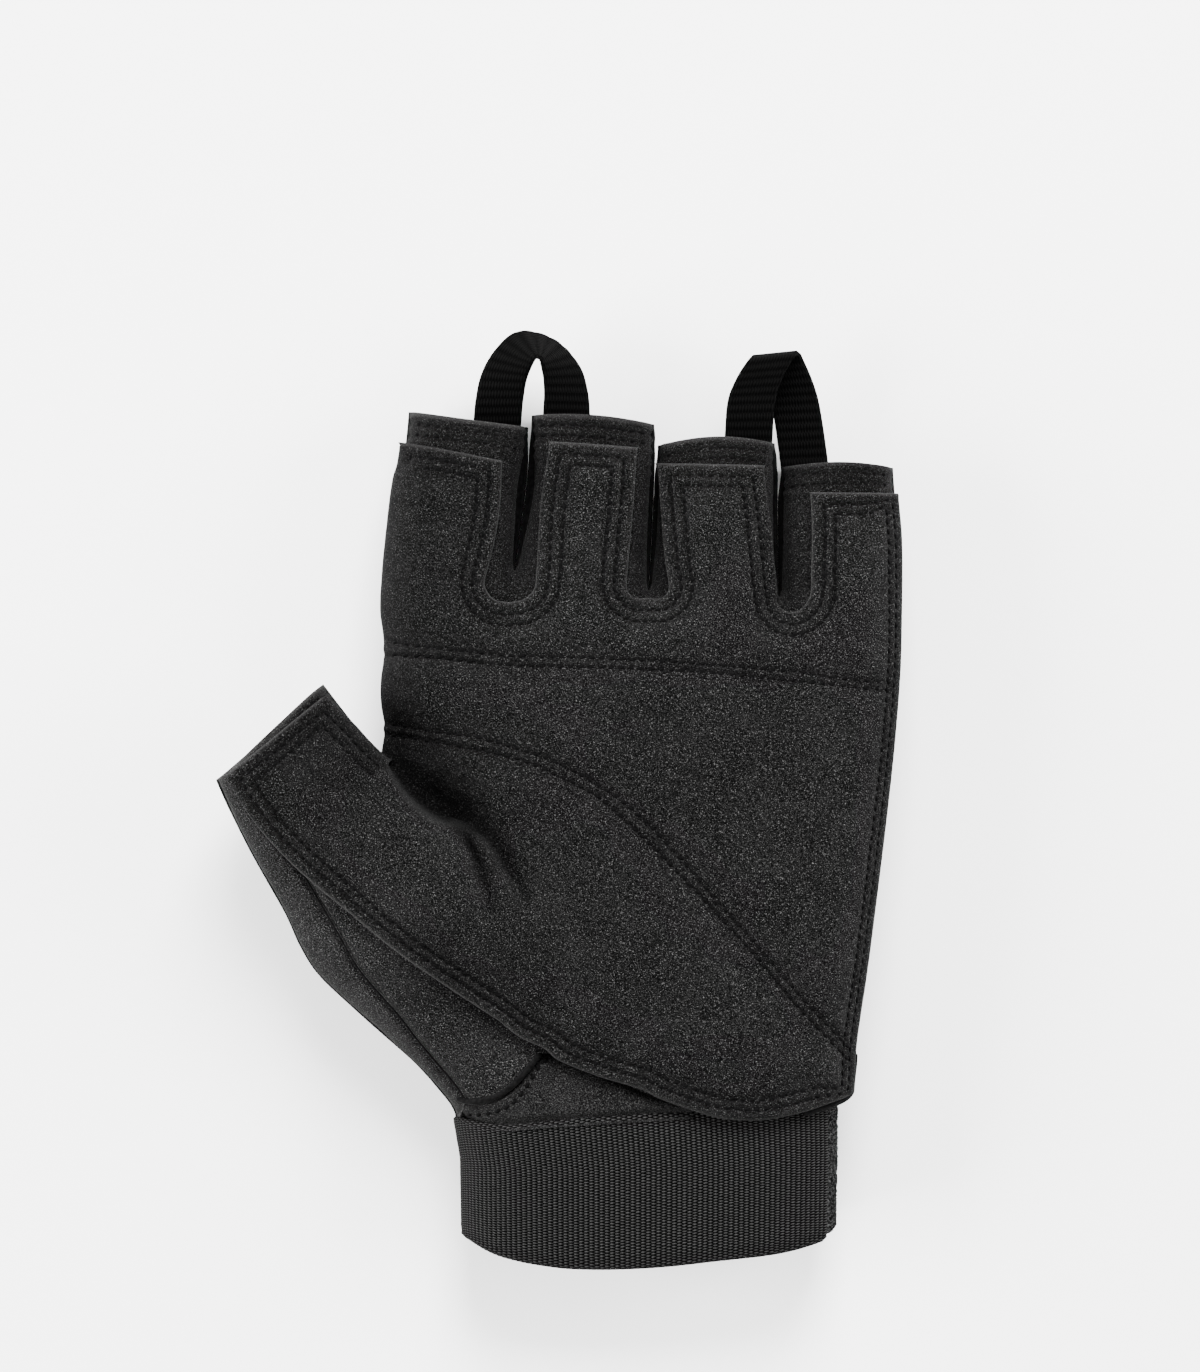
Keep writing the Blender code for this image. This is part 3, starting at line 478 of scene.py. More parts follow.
class Finish:
    # one material: its node tree, its shader and what is added to them
    def __init__(self, name, rough, sheen=0.0, sheenRough=0.5, specular=0.3):
        self.material = bpy.data.materials.new(name)
        self.material.use_nodes = True
        self.tree = self.material.node_tree
        self.shader = self.tree.nodes["Principled BSDF"]
        self.shader.inputs["Roughness"].default_value = rough
        self.shader.inputs["Sheen Weight"].default_value = sheen
        self.shader.inputs["Sheen Roughness"].default_value = sheenRough
        self.shader.inputs["Specular IOR Level"].default_value = specular
        self.place = self.add("ShaderNodeTexCoord", out="Object")

    def add(self, kind, settings=None, values=None, out=0):
        # a node of this material
        return addNode(self.tree, kind, settings, values, out)

    def noise(self, scale, detail=3.0, rough=0.6, stretch=None, turn=0.0):
        # noise over the object's own space, drawn out along one way if it has a stretch
        vector = self.place
        if stretch:
            turned = {"Vector": vector, "Rotation": (0, 0, turn), "Scale": stretch}
            vector = self.add("ShaderNodeMapping", None, turned)
        values = {"Vector": vector, "Scale": scale, "Detail": detail, "Roughness": rough}
        return self.add("ShaderNodeTexNoise", None, values, "Fac")

    def value(self, name):
        # a value that the mesh holds for each point
        return self.add("ShaderNodeAttribute", {"attribute_name": name}, None, "Fac")

    def mix(self, factor, a, b):
        # a * (1 - factor) + b * factor
        return self.add("ShaderNodeMix", {"data_type": "RGBA"}, {"Factor": factor, "A": a, "B": b}, "Result")

    def colour(self, value):
        # the shader's base colour
        join(self.tree, self.shader.inputs["Base Color"], value)

    def bump(self, height, distance, strength=1.0):
        # the shader's normal, tilted by a height's slope
        values = {"Height": height, "Distance": distance, "Strength": strength}
        join(self.tree, self.shader.inputs["Normal"], self.add("ShaderNodeBump", None, values, "Normal"))


def grey(v, warm=0.0):
    # a grey a little warmer than neutral
    return (v * (1 + warm), v, v * (1 - warm), 1.0)


def suede(name, dark, light, fleck):
    # napped suede: fine grain, short fibres lying two ways, pale flecks and a faint cloud of brushed pile
    f = Finish(name, 0.95, sheen=0.012, sheenRough=0.4, specular=0.02)
    grain = f.noise(4500, 2, 0.6)
    fibres = f.noise(5300, 2, 0.6, (1, 0.4, 1), 0.8) * 0.5 + f.noise(4900, 2, 0.6, (0.4, 1, 1), 0.5) * 0.5
    cloud = f.noise(90, 3, 0.6)
    pile = (grain * 0.48 + fibres * 0.44 + cloud * 0.08).between(0.44, 0.56)
    base = f.mix(pile, grey(dark), grey(light, 0.008))
    base = f.mix((grain * 0.5 + fibres * 0.5).between(0.55, 0.64), base, grey(fleck, 0.01))
    # painted highlight along the rims and the edges of the finger mouths
    base = f.mix(f.value("rimHighlight") * 0.35, base, grey(fleck, 0.01))
    # painted shade along the sewn rows
    base = f.mix(f.value("sewn") * 0.45, base, grey(dark * 0.5))
    # painted shade round the thumb's crotch, in its folds, by the index finger and over the fingers' front
    f.colour(f.mix(f.value("paintedShade") * 0.72, base, grey(dark)))
    f.bump(grain * 0.5 + fibres * 0.5, 0.0004, 1.0)
    return f.material


def knit(name, dark, light, pitch, depth, sheen=0.01):
    # plain stretch knit: small rounded cells of yarn with a soft cloud over them
    f = Finish(name, 0.9, sheen=sheen, sheenRough=0.5, specular=0.02)
    values = {"Vector": f.place, "Scale": 1 / pitch, "Smoothness": 0.3}
    cells = f.add("ShaderNodeTexVoronoi", {"feature": "SMOOTH_F1"}, values, "Distance")
    yarn = cells * -1.0 + f.noise(2600, 2, 0.6) * 0.4 + 0.8
    f.colour(f.mix((yarn * 0.8 + f.noise(120, 3, 0.6) * 0.2).between(0.2, 0.8), grey(dark), grey(light)))
    f.bump(yarn, depth, 0.8)
    return f.material


def ribbed(name, dark, light, ribs, fuzz, depth, reach):
    # Woven band with its ribs in the mesh, and small loops of yarn along each rib:
    # wave = sin(2 pi (v + floor(u) / 2)), with u counted in ribs and v in yarns, so that the loops of
    # neighbouring ribs are staggered.
    f = Finish(name, 0.9, sheen=0.004, sheenRough=0.45, specular=0.015)
    flat = f.add("ShaderNodeTexCoord", out="UV")
    u, v = (f.add("ShaderNodeSeparateXYZ", None, {0: flat}, axis) for axis in "XY")
    wave = ((v + u.math("FLOOR") * 0.5 + f.noise(500, 2, 0.5) * 0.7) * 6.2832).math("SINE") * 0.5 + 0.5
    yarn = wave * 0.6 + f.noise(2600, 2, 0.6) * 0.5
    # painted shade: darker in the valleys between the ribs and lighter on their crowns, over the yarn loops'
    # pattern
    shade = (f.value("rib") * ribs + yarn * fuzz).between(*reach)
    yarns = f.mix(shade, grey(dark), grey(light, 0.01))
    f.colour(f.mix(f.value("sewn") * 0.6, yarns, grey(dark)))
    f.bump(yarn, depth, 0.8)
    return f.material


def fuzzy(name, dark, light):
    # looped pile: pale tufts on a dark ground, darkened by a painted shadow that the mesh marks
    f = Finish(name, 0.95, sheen=0.01, sheenRough=0.6, specular=0.02)
    tuft = f.noise(1600, 4, 0.75)
    tufts = f.mix(tuft.between(0.46, 0.62), grey(dark), grey(light))
    f.colour(f.mix(f.value("sewn"), tufts, grey(dark)))
    f.bump(tuft, 0.0006, 1.0)
    return f.material


def threadFinish(name, dark, light):
    # plied thread, a little lighter on its crowns
    f = Finish(name, 0.8, specular=0.02)
    ply = f.noise(3000, 2, 0.5)
    f.colour(f.mix(ply.between(0.3, 0.7), grey(dark), grey(light)))
    f.bump(ply, 0.0001, 0.5)
    return f.material


def floorFinish():
    # plain pale floor
    f = Finish("paleFloor", 0.8, specular=0.1)
    f.colour(f.mix(f.noise(6, 2, 0.5), grey(0.96), grey(0.98)))
    return f.material


finishes = {
    "suede": suede("charcoalSuede", 0.0003, 0.0108, 0.068),
    "padSuede": suede("paddedSuede", 0.0001, 0.0070, 0.056),
    "sideSuede": suede("sideSuede", 0.0003, 0.0112, 0.076),
    "gusset": suede("gussetSuede", 0.0006, 0.0105, 0.040),
    "stretch": knit("stretchKnit", 0.004, 0.014, 0.0008, 0.00015),
    "elastic": ribbed("knitElastic", 0.0001, 0.0240, 0.45, 1.0, 0.00060, (0.62, 1.30)),
    "webbing": ribbed("wovenWebbing", 0.0001, 0.0018, 0.40, 0.75, 0.00015, (0.42, 1.0)),
    "fuzzy": fuzzy("loopPile", 0.0004, 0.040),
    "hook": knit("hookTape", 0.004, 0.010, 0.0012, 0.0003, 0.0),
    # painted shade: the finger gaps' stretch knit is a far darker copy of the back's, for the shade between
    # the fingers
    "gap": knit("gapKnit", 0.0003, 0.0015, 0.0008, 0.00015, 0.002),
    "thread": threadFinish("blackThread", 0.0005, 0.0022),
    "binding": knit("bindingTape", 0.0008, 0.003, 0.0006, 0.0001),
}
print("finishes ready")


def settle(piece, finish, slot, *nodes):
    # gives a piece its finish and its place on the body; its slot is not used
    piece.data.materials.clear()
    piece.data.materials.append(finishes[finish])
    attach(piece, "root")
    if nodes:
        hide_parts(*nodes)
    print("made", piece.name, len(piece.data.polygons))
    return piece


# The padded overlay. Borders run from the lower edge over the thumb's level and the fork to the tip.
overlay = {
    "borders": [
        ([(560, 1052), (480, 920), (393, 768), (391, 752), (391, 730), (391, 700), (391, 640),
         (392, 583), (396, 540), (403, 480), (408, 443)], (2, 6)),
        ([(640, 1090), (567, 826), (510, 605), (495, 602), (486, 592), (484, 580), (492, 540),
         (497, 500), (499, 461)], (1, 2)),
        ([(640, 1090), (567, 826), (510, 605), (525, 602), (536, 592), (540, 572), (545, 510),
         (554, 442)], (1, 2)),
        ([(700, 1110), (672, 835), (650, 604), (634, 602), (624, 592), (624, 572), (629, 510),
         (633, 448)], (1, 2)),
        ([(700, 1110), (672, 835), (650, 604), (663, 602), (672, 590), (669, 560), (666, 510),
         (664, 464)], (1, 2)),
        ([(770, 1116), (778, 842), (790, 617), (779, 613), (772, 602), (769, 575), (764, 520),
         (758, 466)], (1, 2)),
        ([(770, 1116), (778, 842), (790, 617), (802, 612), (811, 597), (812, 570), (813, 530),
         (812, 493)], (1, 2)),
        ([(836, 1096), (846, 1087), (849, 1040), (860, 965), (875, 850), (886, 755), (893, 670),
         (895, 598), (895, 545), (893, 515), (891, 494)], (4, 7)),
    ],
    "rows": (84, 70, 50),
    "thumbOuter": [(500, 1017), (460, 990), (400, 948), (345, 903), (300, 862), (264, 820), (235, 773)],
    "thumbInner": [(393, 768), (380, 758), (365, 743), (350, 726), (323, 699)],
    "lower": [
        (500, 1017), (520, 1033), (545, 1045), (560, 1057), (600, 1073), (640, 1085), (660, 1095),
        (700, 1109), (720, 1114), (740, 1116), (760, 1116), (780, 1113), (800, 1108), (820, 1101),
        (836, 1096),
    ],
    "thumbRows": 62, "thumbShare": 0.42, "thumbColumns": 44, "fingerColumns": 42,
}


def overlayGrid():
    # a grid ruled between the borders, thumb first, with its lower row bent onto the lower edge
    c = overlay
    b = bordersFrom(c["borders"], c["rows"])
    low = c["rows"][0]
    inner = evenly(smooth(plan(c["thumbInner"])), c["thumbRows"])
    trunk = np.concatenate([b[0][:low], inner])
    outer = smooth(plan(c["thumbOuter"]))
    total = lengths(outer)[-1]
    cut = total * c["thumbShare"]
    steps = [np.linspace(0, cut, low, endpoint=False), np.linspace(cut, total, c["thumbRows"] + 1)]
    outer = along(outer, np.concatenate(steps))
    columns = [(outer, trunk, c["thumbColumns"])]
    columns += [(b[2 * k], b[2 * k + 1], c["fingerColumns"]) for k in range(4)]
    points, quads = joinColumns(columns)
    row = np.array([columns[0][0][0]] + [right[0] for _, right, _ in columns])
    return bendLower(points, row, smooth(plan(c["lower"]))), quads


channels = {
    "knuckleUp": [
        (384, 640), (440, 648), (480, 652), (520, 656), (600, 658), (680, 662), (760, 668), (800, 672),
        (840, 678), (900, 683),
    ],
    "knuckleLow": [
        (384, 654), (440, 657), (480, 662), (520, 665), (600, 667), (680, 670), (760, 677), (800, 681),
        (840, 685), (900, 692),
    ],
    "lifeUp": [
        (380, 719), (440, 731), (480, 737), (520, 748), (560, 763), (600, 785), (640, 815), (680, 857),
        (720, 903), (760, 948), (800, 995), (850, 1056),
    ],
    "lifeLow": [
        (380, 731), (440, 741), (480, 749), (520, 758), (560, 775), (600, 797), (640, 833), (680, 873),
        (720, 915), (760, 960), (800, 1008), (846, 1064),
    ],
}
# Stitch rows run round the overlay at these distances from its rim, except in the bare box on its left side.
sewing = {
    "edgeRows": (0.0023, 0.0043), "bare": ((385, 462), (412, 775)),
    "pitch": 0.00200, "long": 0.00155, "wide": 0.00078, "high": 0.00042, "tilt": 14.0,
}
# How the overlay rolls at its rim, sinks along its rows and swells between them: (depth, width) in metres.
quilt = {
    "roll": (0.75, 0.0011), "groove": (0.00045, 0.00050), "puff": (0.0009, 0.0035), "calm": 0.004,
    # The last two on the next line are the widths of the painted highlight along the rim and of the painted
    # shade along the sewn rows.
    "slowWave": (0.00022, 0.017), "fineWave": (0.0001, 0.006), "rimHighlight": 0.0004, "rowShade": 0.00042,
}


def insetRows(rim, distance):
    # The rim moved inwards, less so by the little finger's side. Stretches nearer to the rim than that are
    # dropped, as is the hand's left side, and the rest is cut into runs.
    run = np.gradient(rim, axis=0)
    run /= np.maximum(np.linalg.norm(run, axis=1), 1e-12)[:, None]
    inset = distance * (0.62 + 0.38 * ramp(0.003, 0.007, pathDistance(outline["ulnar"], rim)[0]))
    moved = rim + np.stack([-run[:, 1], run[:, 0]], 1) * inset[:, None]
    keep = pathDistance(rim, moved, 0.006)[0] > inset * 0.985
    low, high = plan([sewing["bare"][0], sewing["bare"][1]])
    keep &= ~((rim > [low[0], high[1]]) & (rim < [high[0], low[1]])).all(1)
    moved = moved[keep]
    step = np.linalg.norm(np.diff(moved, axis=0), axis=1)
    cuts = np.where(step > 0.004)[0] + 1
    return [part for part in np.split(moved, cuts) if len(part) > 8]


padPlan, padQuads = overlayGrid()
padRim = rimPath(padPlan, padQuads)
padRim = evenly(padRim, int(lengths(padRim)[-1] / 0.0004))
area = 0.5 * np.sum(padRim[:-1, 0] * padRim[1:, 1] - padRim[1:, 0] * padRim[:-1, 1])
if area < 0:
    padRim = padRim[::-1]
padRows = [row for distance in sewing["edgeRows"] for row in insetRows(padRim, distance)]
channelRows = [smooth(plan(knots)) for knots in channels.values()]


def inPad(points):
    # crossing count of the rim to the right of each point
    a, b = padRim[:-1], padRim[1:]
    above = (a[:, 1][None] > points[:, 1][:, None]) != (b[:, 1][None] > points[:, 1][:, None])
    rise = np.where(b[:, 1] == a[:, 1], 1e-12, b[:, 1] - a[:, 1])
    x = a[:, 0] + (points[:, 1][:, None] - a[:, 1]) * (b[:, 0] - a[:, 0]) / rise
    return (above & (x > points[:, 0][:, None])).sum(1) % 2 == 1


channelRows = [evenly(row, 400) for row in channelRows]
channelRows = [row[inPad(row) & (pathDistance(padRim, row, 0.004)[0] > 0.0012)] for row in channelRows]


def padRelief(p):
    # height over the plain pad: rolled at the rim, pressed in at each sewn row, puffed between them
    rim = pathDistance(padRim, p, 0.004)[0]
    sewn = pathDistance(padRows + channelRows, p, 0.013)[0]
    c = quilt
    roll = -glove["pad"] * c["roll"][0] * rounded(1 - rim / c["roll"][1])
    groove = -c["groove"][0] * bell(sewn, c["groove"][1])
    puff = c["puff"][0] * (1 - bell(sewn, c["puff"][1]))
    waves = c["slowWave"][0] * ripple(p, c["slowWave"][1], 3)
    waves = waves + c["fineWave"][0] * ripple(p, c["fineWave"][1], 5)
    return roll + groove + puff + waves * ramp(0, c["calm"], sewn), rim, sewn


ground = Ground(padPlan)
relief, rimFar, sewnFar = padRelief(padPlan)
padTop = ground.skin(glove["padLift"] + glove["pad"] + relief)
padUnder = ground.skin(glove["padLift"] + 0 * relief)
points, faces = closedSheets(padTop, padUnder, padQuads)
# Painted highlight on the rim; painted shade along the sewn rows, round the thumb's crotch, in its folds and
# by the index.
marks = {
    "rimHighlight": 0.5 * bell(rimFar, quilt["rimHighlight"]), "sewn": bell(sewnFar, quilt["rowShade"]),
    "paintedShade": foldShade(padPlan),
}
pad = makeMesh("palmOverlay", points, faces, 60, {key: np.tile(value, 2) for key, value in marks.items()})
settle(pad, "padSuede", "padded_suede", "palm_overlay")


def stitchPieces(name, rows, surface, slot):
    # Stitches: each is a short rounded thread that lies a little askew and dips in at both ends. Its rise
    # is high * (0.30 - 0.75 t^2) and its width wide * sqrt(1 - 0.82 t^4), for t from -1 to 1 along it.
    c = sewing
    middle, ahead = [], []
    for row in rows:
        total = lengths(row)[-1]
        count = int(total / c["pitch"])
        if count < 2:
            continue
        s = (np.arange(count) + 0.5) * total / count
        p = along(row, s)
        q = along(row, np.minimum(s + 0.0002, total)) - along(row, np.maximum(s - 0.0002, 0))
        q /= np.linalg.norm(q, axis=1)[:, None]
        middle.append(p)
        ahead.append(q)
    p, q = np.concatenate(middle), np.concatenate(ahead)
    n = len(p)
    lateral = np.stack([-q[:, 1], q[:, 0]], 1)
    step = 0.0004
    found = surface(np.concatenate([p, p + q * step, p - q * step, p + lateral * step, p - lateral * step]))
    centre = found[:n]
    forward = found[n:2 * n] - found[2 * n:3 * n]
    across = found[3 * n:4 * n] - found[4 * n:]
    forward /= np.linalg.norm(forward, axis=1)[:, None]
    up = np.cross(forward, across)
    up /= np.linalg.norm(up, axis=1)[:, None]
    across = np.cross(up, forward)
    cos, sin = np.cos(np.radians(c["tilt"])), np.sin(np.radians(c["tilt"]))
    forward, across = forward * cos + across * sin, across * cos - forward * sin
    t = np.linspace(-1, 1, 5)
    angle = np.arange(6) * np.pi / 3
    width = 0.5 * c["wide"] * np.sqrt(np.clip(1 - 0.82 * t**4, 0, 1))
    rise = c["high"] * (0.30 - 0.75 * t**2)
    points = (
        centre[:, None, None]
        + forward[:, None, None] * (t * 0.5 * c["long"])[None, :, None, None]
        + across[:, None, None] * (width[:, None] * np.cos(angle))[None, :, :, None]
        + up[:, None, None] * (rise[:, None] + width[:, None] * 0.8 * np.sin(angle))[None, :, :, None]
    )
    one = gridFaces(5, 6, wrap=True)
    caps = np.array([[5, 4, 3, 2], [5, 2, 1, 0], [24, 25, 26, 27], [24, 27, 28, 29]])
    faces = np.concatenate([one, caps])
    faces = (faces[None] + (np.arange(n) * 30)[:, None, None]).reshape(-1, 4)
    piece = makeMesh(name, points.reshape(-1, 3), faces, 0)
    settle(piece, "thread", slot)


def padSurface(p):
    # the overlay's upper side at plan points
    return Ground(p).skin(glove["padLift"] + glove["pad"] + padRelief(p)[0])


stitchPieces("overlayStitches", padRows + channelRows, padSurface, "padded_suede")

# The suede front, which shows at the finger tips, beside the overlay and between the fingers.
palm = {
    "crotch": (390, 765), "indexMid": (390, 583), "indexTip": (408, 411), "thumbTip": (325, 684),
    "trunk": (470, 920),
    "ulnar": [(848, 1096), (880, 850), (900, 598), (894, 467)],
    "forks": {
        "gap1": [(605, 1066), (560, 826), (515, 568)],
        "gap2": [(690, 1098), (670, 835), (649, 588)],
        "gap3": [(770, 1102), (775, 842), (779, 594)],
    },
    "tips": {
        "gap1": [(528, 427), (531.5, 415)],
        "gap2": [(654.5, 424), (658, 445)],
        "gap3": [(775, 443), (782, 467)],
    },
    "seam": [
        (466, 1098), (455, 1082), (440, 1064), (420, 1040), (400, 1013), (380, 990), (360, 965),
        (343, 935), (322, 899), (304, 869), (286, 848), (252, 801), (231, 772),
    ],
    "heel": [
        (466, 1099), (480, 1099), (500, 1092), (515, 1081), (530, 1063), (545, 1050), (570, 1056),
        (600, 1069), (650, 1091), (690, 1101), (720, 1107), (780, 1107), (848, 1096),
    ],
    "wrist": [
        (456, 1112), (480, 1116), (500, 1118), (540, 1116), (560, 1114), (600, 1110), (640, 1108),
        (680, 1106), (700, 1106), (780, 1105), (848, 1096),
    ],
    "rows": (42, 42, 30), "thumbRows": 34, "thumbColumns": 26, "columns": 22,
    "bow": (-0.0002, 0.0008, 0.0014, 0.0009),
}


def handGrid(feet, edge, thumbOuter):
    # the front's or back's plan grid: a thumb column fanned out, and four finger columns
    c = palm
    low, mid, tip = c["rows"]
    trunk = evenly(smooth(plan([feet[0], c["trunk"], c["crotch"]])), low)
    index = [
        evenly(stretch("inner", c["crotch"], c["indexMid"]), mid),
        evenly(stretch("inner", c["indexMid"], c["indexTip"]), tip),
    ]
    trunk[-1] = index[0][0]
    borders = [np.concatenate([trunk[:-1], index[0][:-1], index[1]])]
    for foot, (name, fork) in zip(feet[1:], c["forks"].items()):
        stem = smooth(plan([foot] + fork[1:]), 16)
        stem = np.concatenate([evenly(stem[:17], low)[:-1], evenly(stem[16:], mid)[:-1]])
        for end in c["tips"][name]:
            borders.append(np.concatenate([stem, evenly(stretch(name, fork[-1], end), tip)]))
    ulnar = [evenly(stretch("ulnar", a, b), n) for a, b, n in zip(c["ulnar"], c["ulnar"][1:], c["rows"])]
    borders.append(np.concatenate([ulnar[0][:-1], ulnar[1][:-1], ulnar[2]]))
    inner = evenly(stretch("inner", c["crotch"], c["thumbTip"]), c["thumbRows"])
    total = lengths(thumbOuter)[-1]
    half = total / 2
    steps = [np.linspace(0, half, low, endpoint=False), np.linspace(half, total, c["thumbRows"] + 1)]
    outer = along(thumbOuter, np.concatenate(steps))
    columns = [(outer, np.concatenate([trunk[:-1], inner]), c["thumbColumns"])]
    columns += [(borders[2 * f], borders[2 * f + 1], c["columns"]) for f in range(4)]
    points, quads = joinColumns(columns)
    row = np.array([outer[0]] + [far[0] for _, far, _ in columns])
    points = bendLower(points, row, edge)
    for f, bow in enumerate(c["bow"]):
        left, far = borders[2 * f][-1], borders[2 * f + 1][-1]
        u = np.clip((points[:, 0] - left[0]) / (far[0] - left[0]), 0, 1)
        points[:, 1] += bow * np.sin(np.pi * u) * ramp(left[1] - 0.02, left[1], points[:, 1])
    return points, quads


seamLine = smooth(plan(palm["seam"]))
frontFeet = [(530, 1060), (605, 1066), (690, 1098), (770, 1102)]
frontPlan, frontQuads = handGrid(frontFeet, smooth(plan(palm["heel"])), seamLine)
frontRim = evenly(rimPath(frontPlan, frontQuads), 1500)
tipLines = {
    "index": [(404, 411), (430, 414), (457, 419), (480, 421), (500, 424), (532, 428)],
    "middle": [(528, 415), (560, 413), (600, 415), (650, 422), (658, 426)],
    "ring": [(655, 446), (680, 441), (700, 438), (727, 436), (760, 439), (778, 444)],
    "little": [(779, 467), (800, 463), (830, 461), (860, 461), (885, 463), (897, 468)],
    "thumb": [(325, 684), (300, 708), (280, 729), (260, 747), (231, 771)],
}
# Each mouth is hemmed by two rows of stitches, which lie this many pixels from its edge along this way.
hems = {name: {"way": (0, 1), "far": (12, 22)} for name in tipLines}
hems["thumb"] = {"way": (0.66, 0.75), "far": (9, 19)}
# How the suede curls in at its edges, sinks along the thumb's seam and at its hem rows, swells beside the
# rows and waves: (depth, width) in metres. The swell lies at besideFar from a row.
suede = {
    "edge": (0.00035, 0.0006), "seam": (0.0005, 0.0008), "row": (0.00028, 0.0006),
    "beside": (0.00025, 0.0007), "besideFar": 0.001, "wave": (0.00022, 0.016),
    # Then the widths of the painted highlight at the edges and of the painted shade at the rows, and the
    # painted shade over the fingers: its strength and where it grows up the hand.
    "rimHighlight": 0.0004, "rowShade": 0.0005, "tipShadeShare": 0.65, "tipFrom": (0.040, 0.055),
}


def shifted(knots, way, amount):
    # a line of the photo, moved some pixels along a way
    return smooth(plan(np.array(knots) + amount * np.array(way)))


hemRows = [
    evenly(shifted(tipLines[name], hem["way"], far), 120) for name, hem in hems.items() for far in hem["far"]
]


def skinRelief(p, rim, rows):
    # curled in at its edges and deeper along the thumb's seam, pressed at its hem rows, and softly waved
    c = suede
    edge = pathDistance(rim, p, 0.004)[0]
    beside = pathDistance(seamLine, p, 0.006)[0]
    lift = c["wave"][0] * ripple(p, c["wave"][1], 11)
    lift -= c["edge"][0] * bell(edge, c["edge"][1]) + c["seam"][0] * bell(beside, c["seam"][1])
    sewn = np.full(len(p), 1.0)
    if rows:
        sewn = pathDistance(rows, p, 0.006)[0]
        lift -= c["row"][0] * bell(sewn, c["row"][1])
        lift += c["beside"][0] * bell(sewn - c["besideFar"], c["beside"][1])
    return lift, edge, sewn


lift, edge, sewn = skinRelief(frontPlan, frontRim, hemRows)
front = Ground(frontPlan)
points, faces = closedSheets(front.skin(lift), front.skin(-glove["fabric"] + 0 * lift), frontQuads)
tips = [smooth(plan(knots)) for knots in tipLines.values()]
# Painted highlight at the finger mouths; painted shade along the hem rows, over the fingers' front, round the
# crotch and in its folds.
tipShade = suede["tipShadeShare"] * ramp(*suede["tipFrom"], frontPlan[:, 1])
marks = {
    "rimHighlight": bell(pathDistance(tips, frontPlan, 0.004)[0], suede["rimHighlight"]),
    "sewn": bell(sewn, suede["rowShade"]),
    "paintedShade": np.maximum(tipShade, foldShade(frontPlan)),
}
panel = makeMesh("palmPanel", points, faces, 60, {key: np.tile(value, 2) for key, value in marks.items()})
settle(panel, "suede", "suede", "palm_panel")


def frontSurface(p):
    # the front's upper side at plan points
    return Ground(p).skin(skinRelief(p, frontRim, hemRows)[0])


# The hem rows are stitched 1 mm inside the rim and farther.
insideRows = [row[pathDistance(frontRim, row)[0] > 0.001] for row in hemRows]
stitchPieces("hemStitches", [row for row in insideRows if len(row) > 8], frontSurface, "suede")

# The darker strip on the thumb's outer side.
side = {"foot": (456, 1124), "tip": (219, 779), "rows": 120, "columns": 26, "rimHighlightShare": 0.3}
sideEdge = stretch("outer", side["foot"], side["tip"])


def sidePanel():
    # a sheet ruled from the glove's outline to the thumb's seam
    outer = evenly(sideEdge, side["rows"])
    inner = evenly(seamLine, side["rows"])
    p, quads = joinColumns([(outer, inner, side["columns"])])
    rim = evenly(rimPath(p, quads), 500)
    lift, edge, _ = skinRelief(p, rim, [])
    g = Ground(p)
    points, faces = closedSheets(g.skin(lift), g.skin(-glove["fabric"] + 0 * lift), quads)
    # a faint painted highlight along the panel's edges
    rimHighlight = side["rimHighlightShare"] * bell(edge, suede["rimHighlight"])
    marks = {"rimHighlight": np.tile(rimHighlight, 2), "sewn": np.zeros(len(points))}
    piece = makeMesh("thumbSidePanel", points, faces, 60, marks)
    settle(piece, "sideSuede", "side_fabric", "thumb_side_panel")


sidePanel()


def backPanel():
    # the same grid under the hand, waved only upwards, and only where it leaves the ground
    feet = [(530, 1116), (608, 1110), (690, 1106), (770, 1105)]
    p, quads = handGrid(feet, smooth(plan(palm["wrist"])), sideEdge)
    g = Ground(p)
    clear = g.bottom + np.clip(1 - g.far / g.reach, 0, 1) * 0.01
    lift = np.minimum(0.0002 * ripple(p, 0.02, 21) * ramp(0.0005, 0.006, clear), 0)
    inside = g.skin(-glove["fabric"] + 0 * lift, False)
    points, faces = closedSheets(g.skin(lift, False), inside, quads[:, ::-1])
    piece = makeMesh("backPanel", points, faces, 60)
    settle(piece, "stretch", "stretch_fabric", "back_panel")


backPanel()


# Each finger gap has a strip with this many steps along each side and across, in metres: how far it stands
# past the seams, stays off the middle, bulges at most, draws in at its edges and is thick.
gapStrip = {
    "steps": 50, "across": 9, "past": 0.0006, "off": 0.00003, "bulge": 0.0016, "tip": 0.007, "drawn": 0.0003,
    "thick": 0.0014, "pieces": {
        "gap1": ("fourchetteIndexMiddle", "fourchette_index_middle"),
        "gap2": ("fourchetteMiddleRing", "fourchette_middle_ring"),
        "gap3": ("fourchetteRingLittle", "fourchette_ring_little"),
    },
}


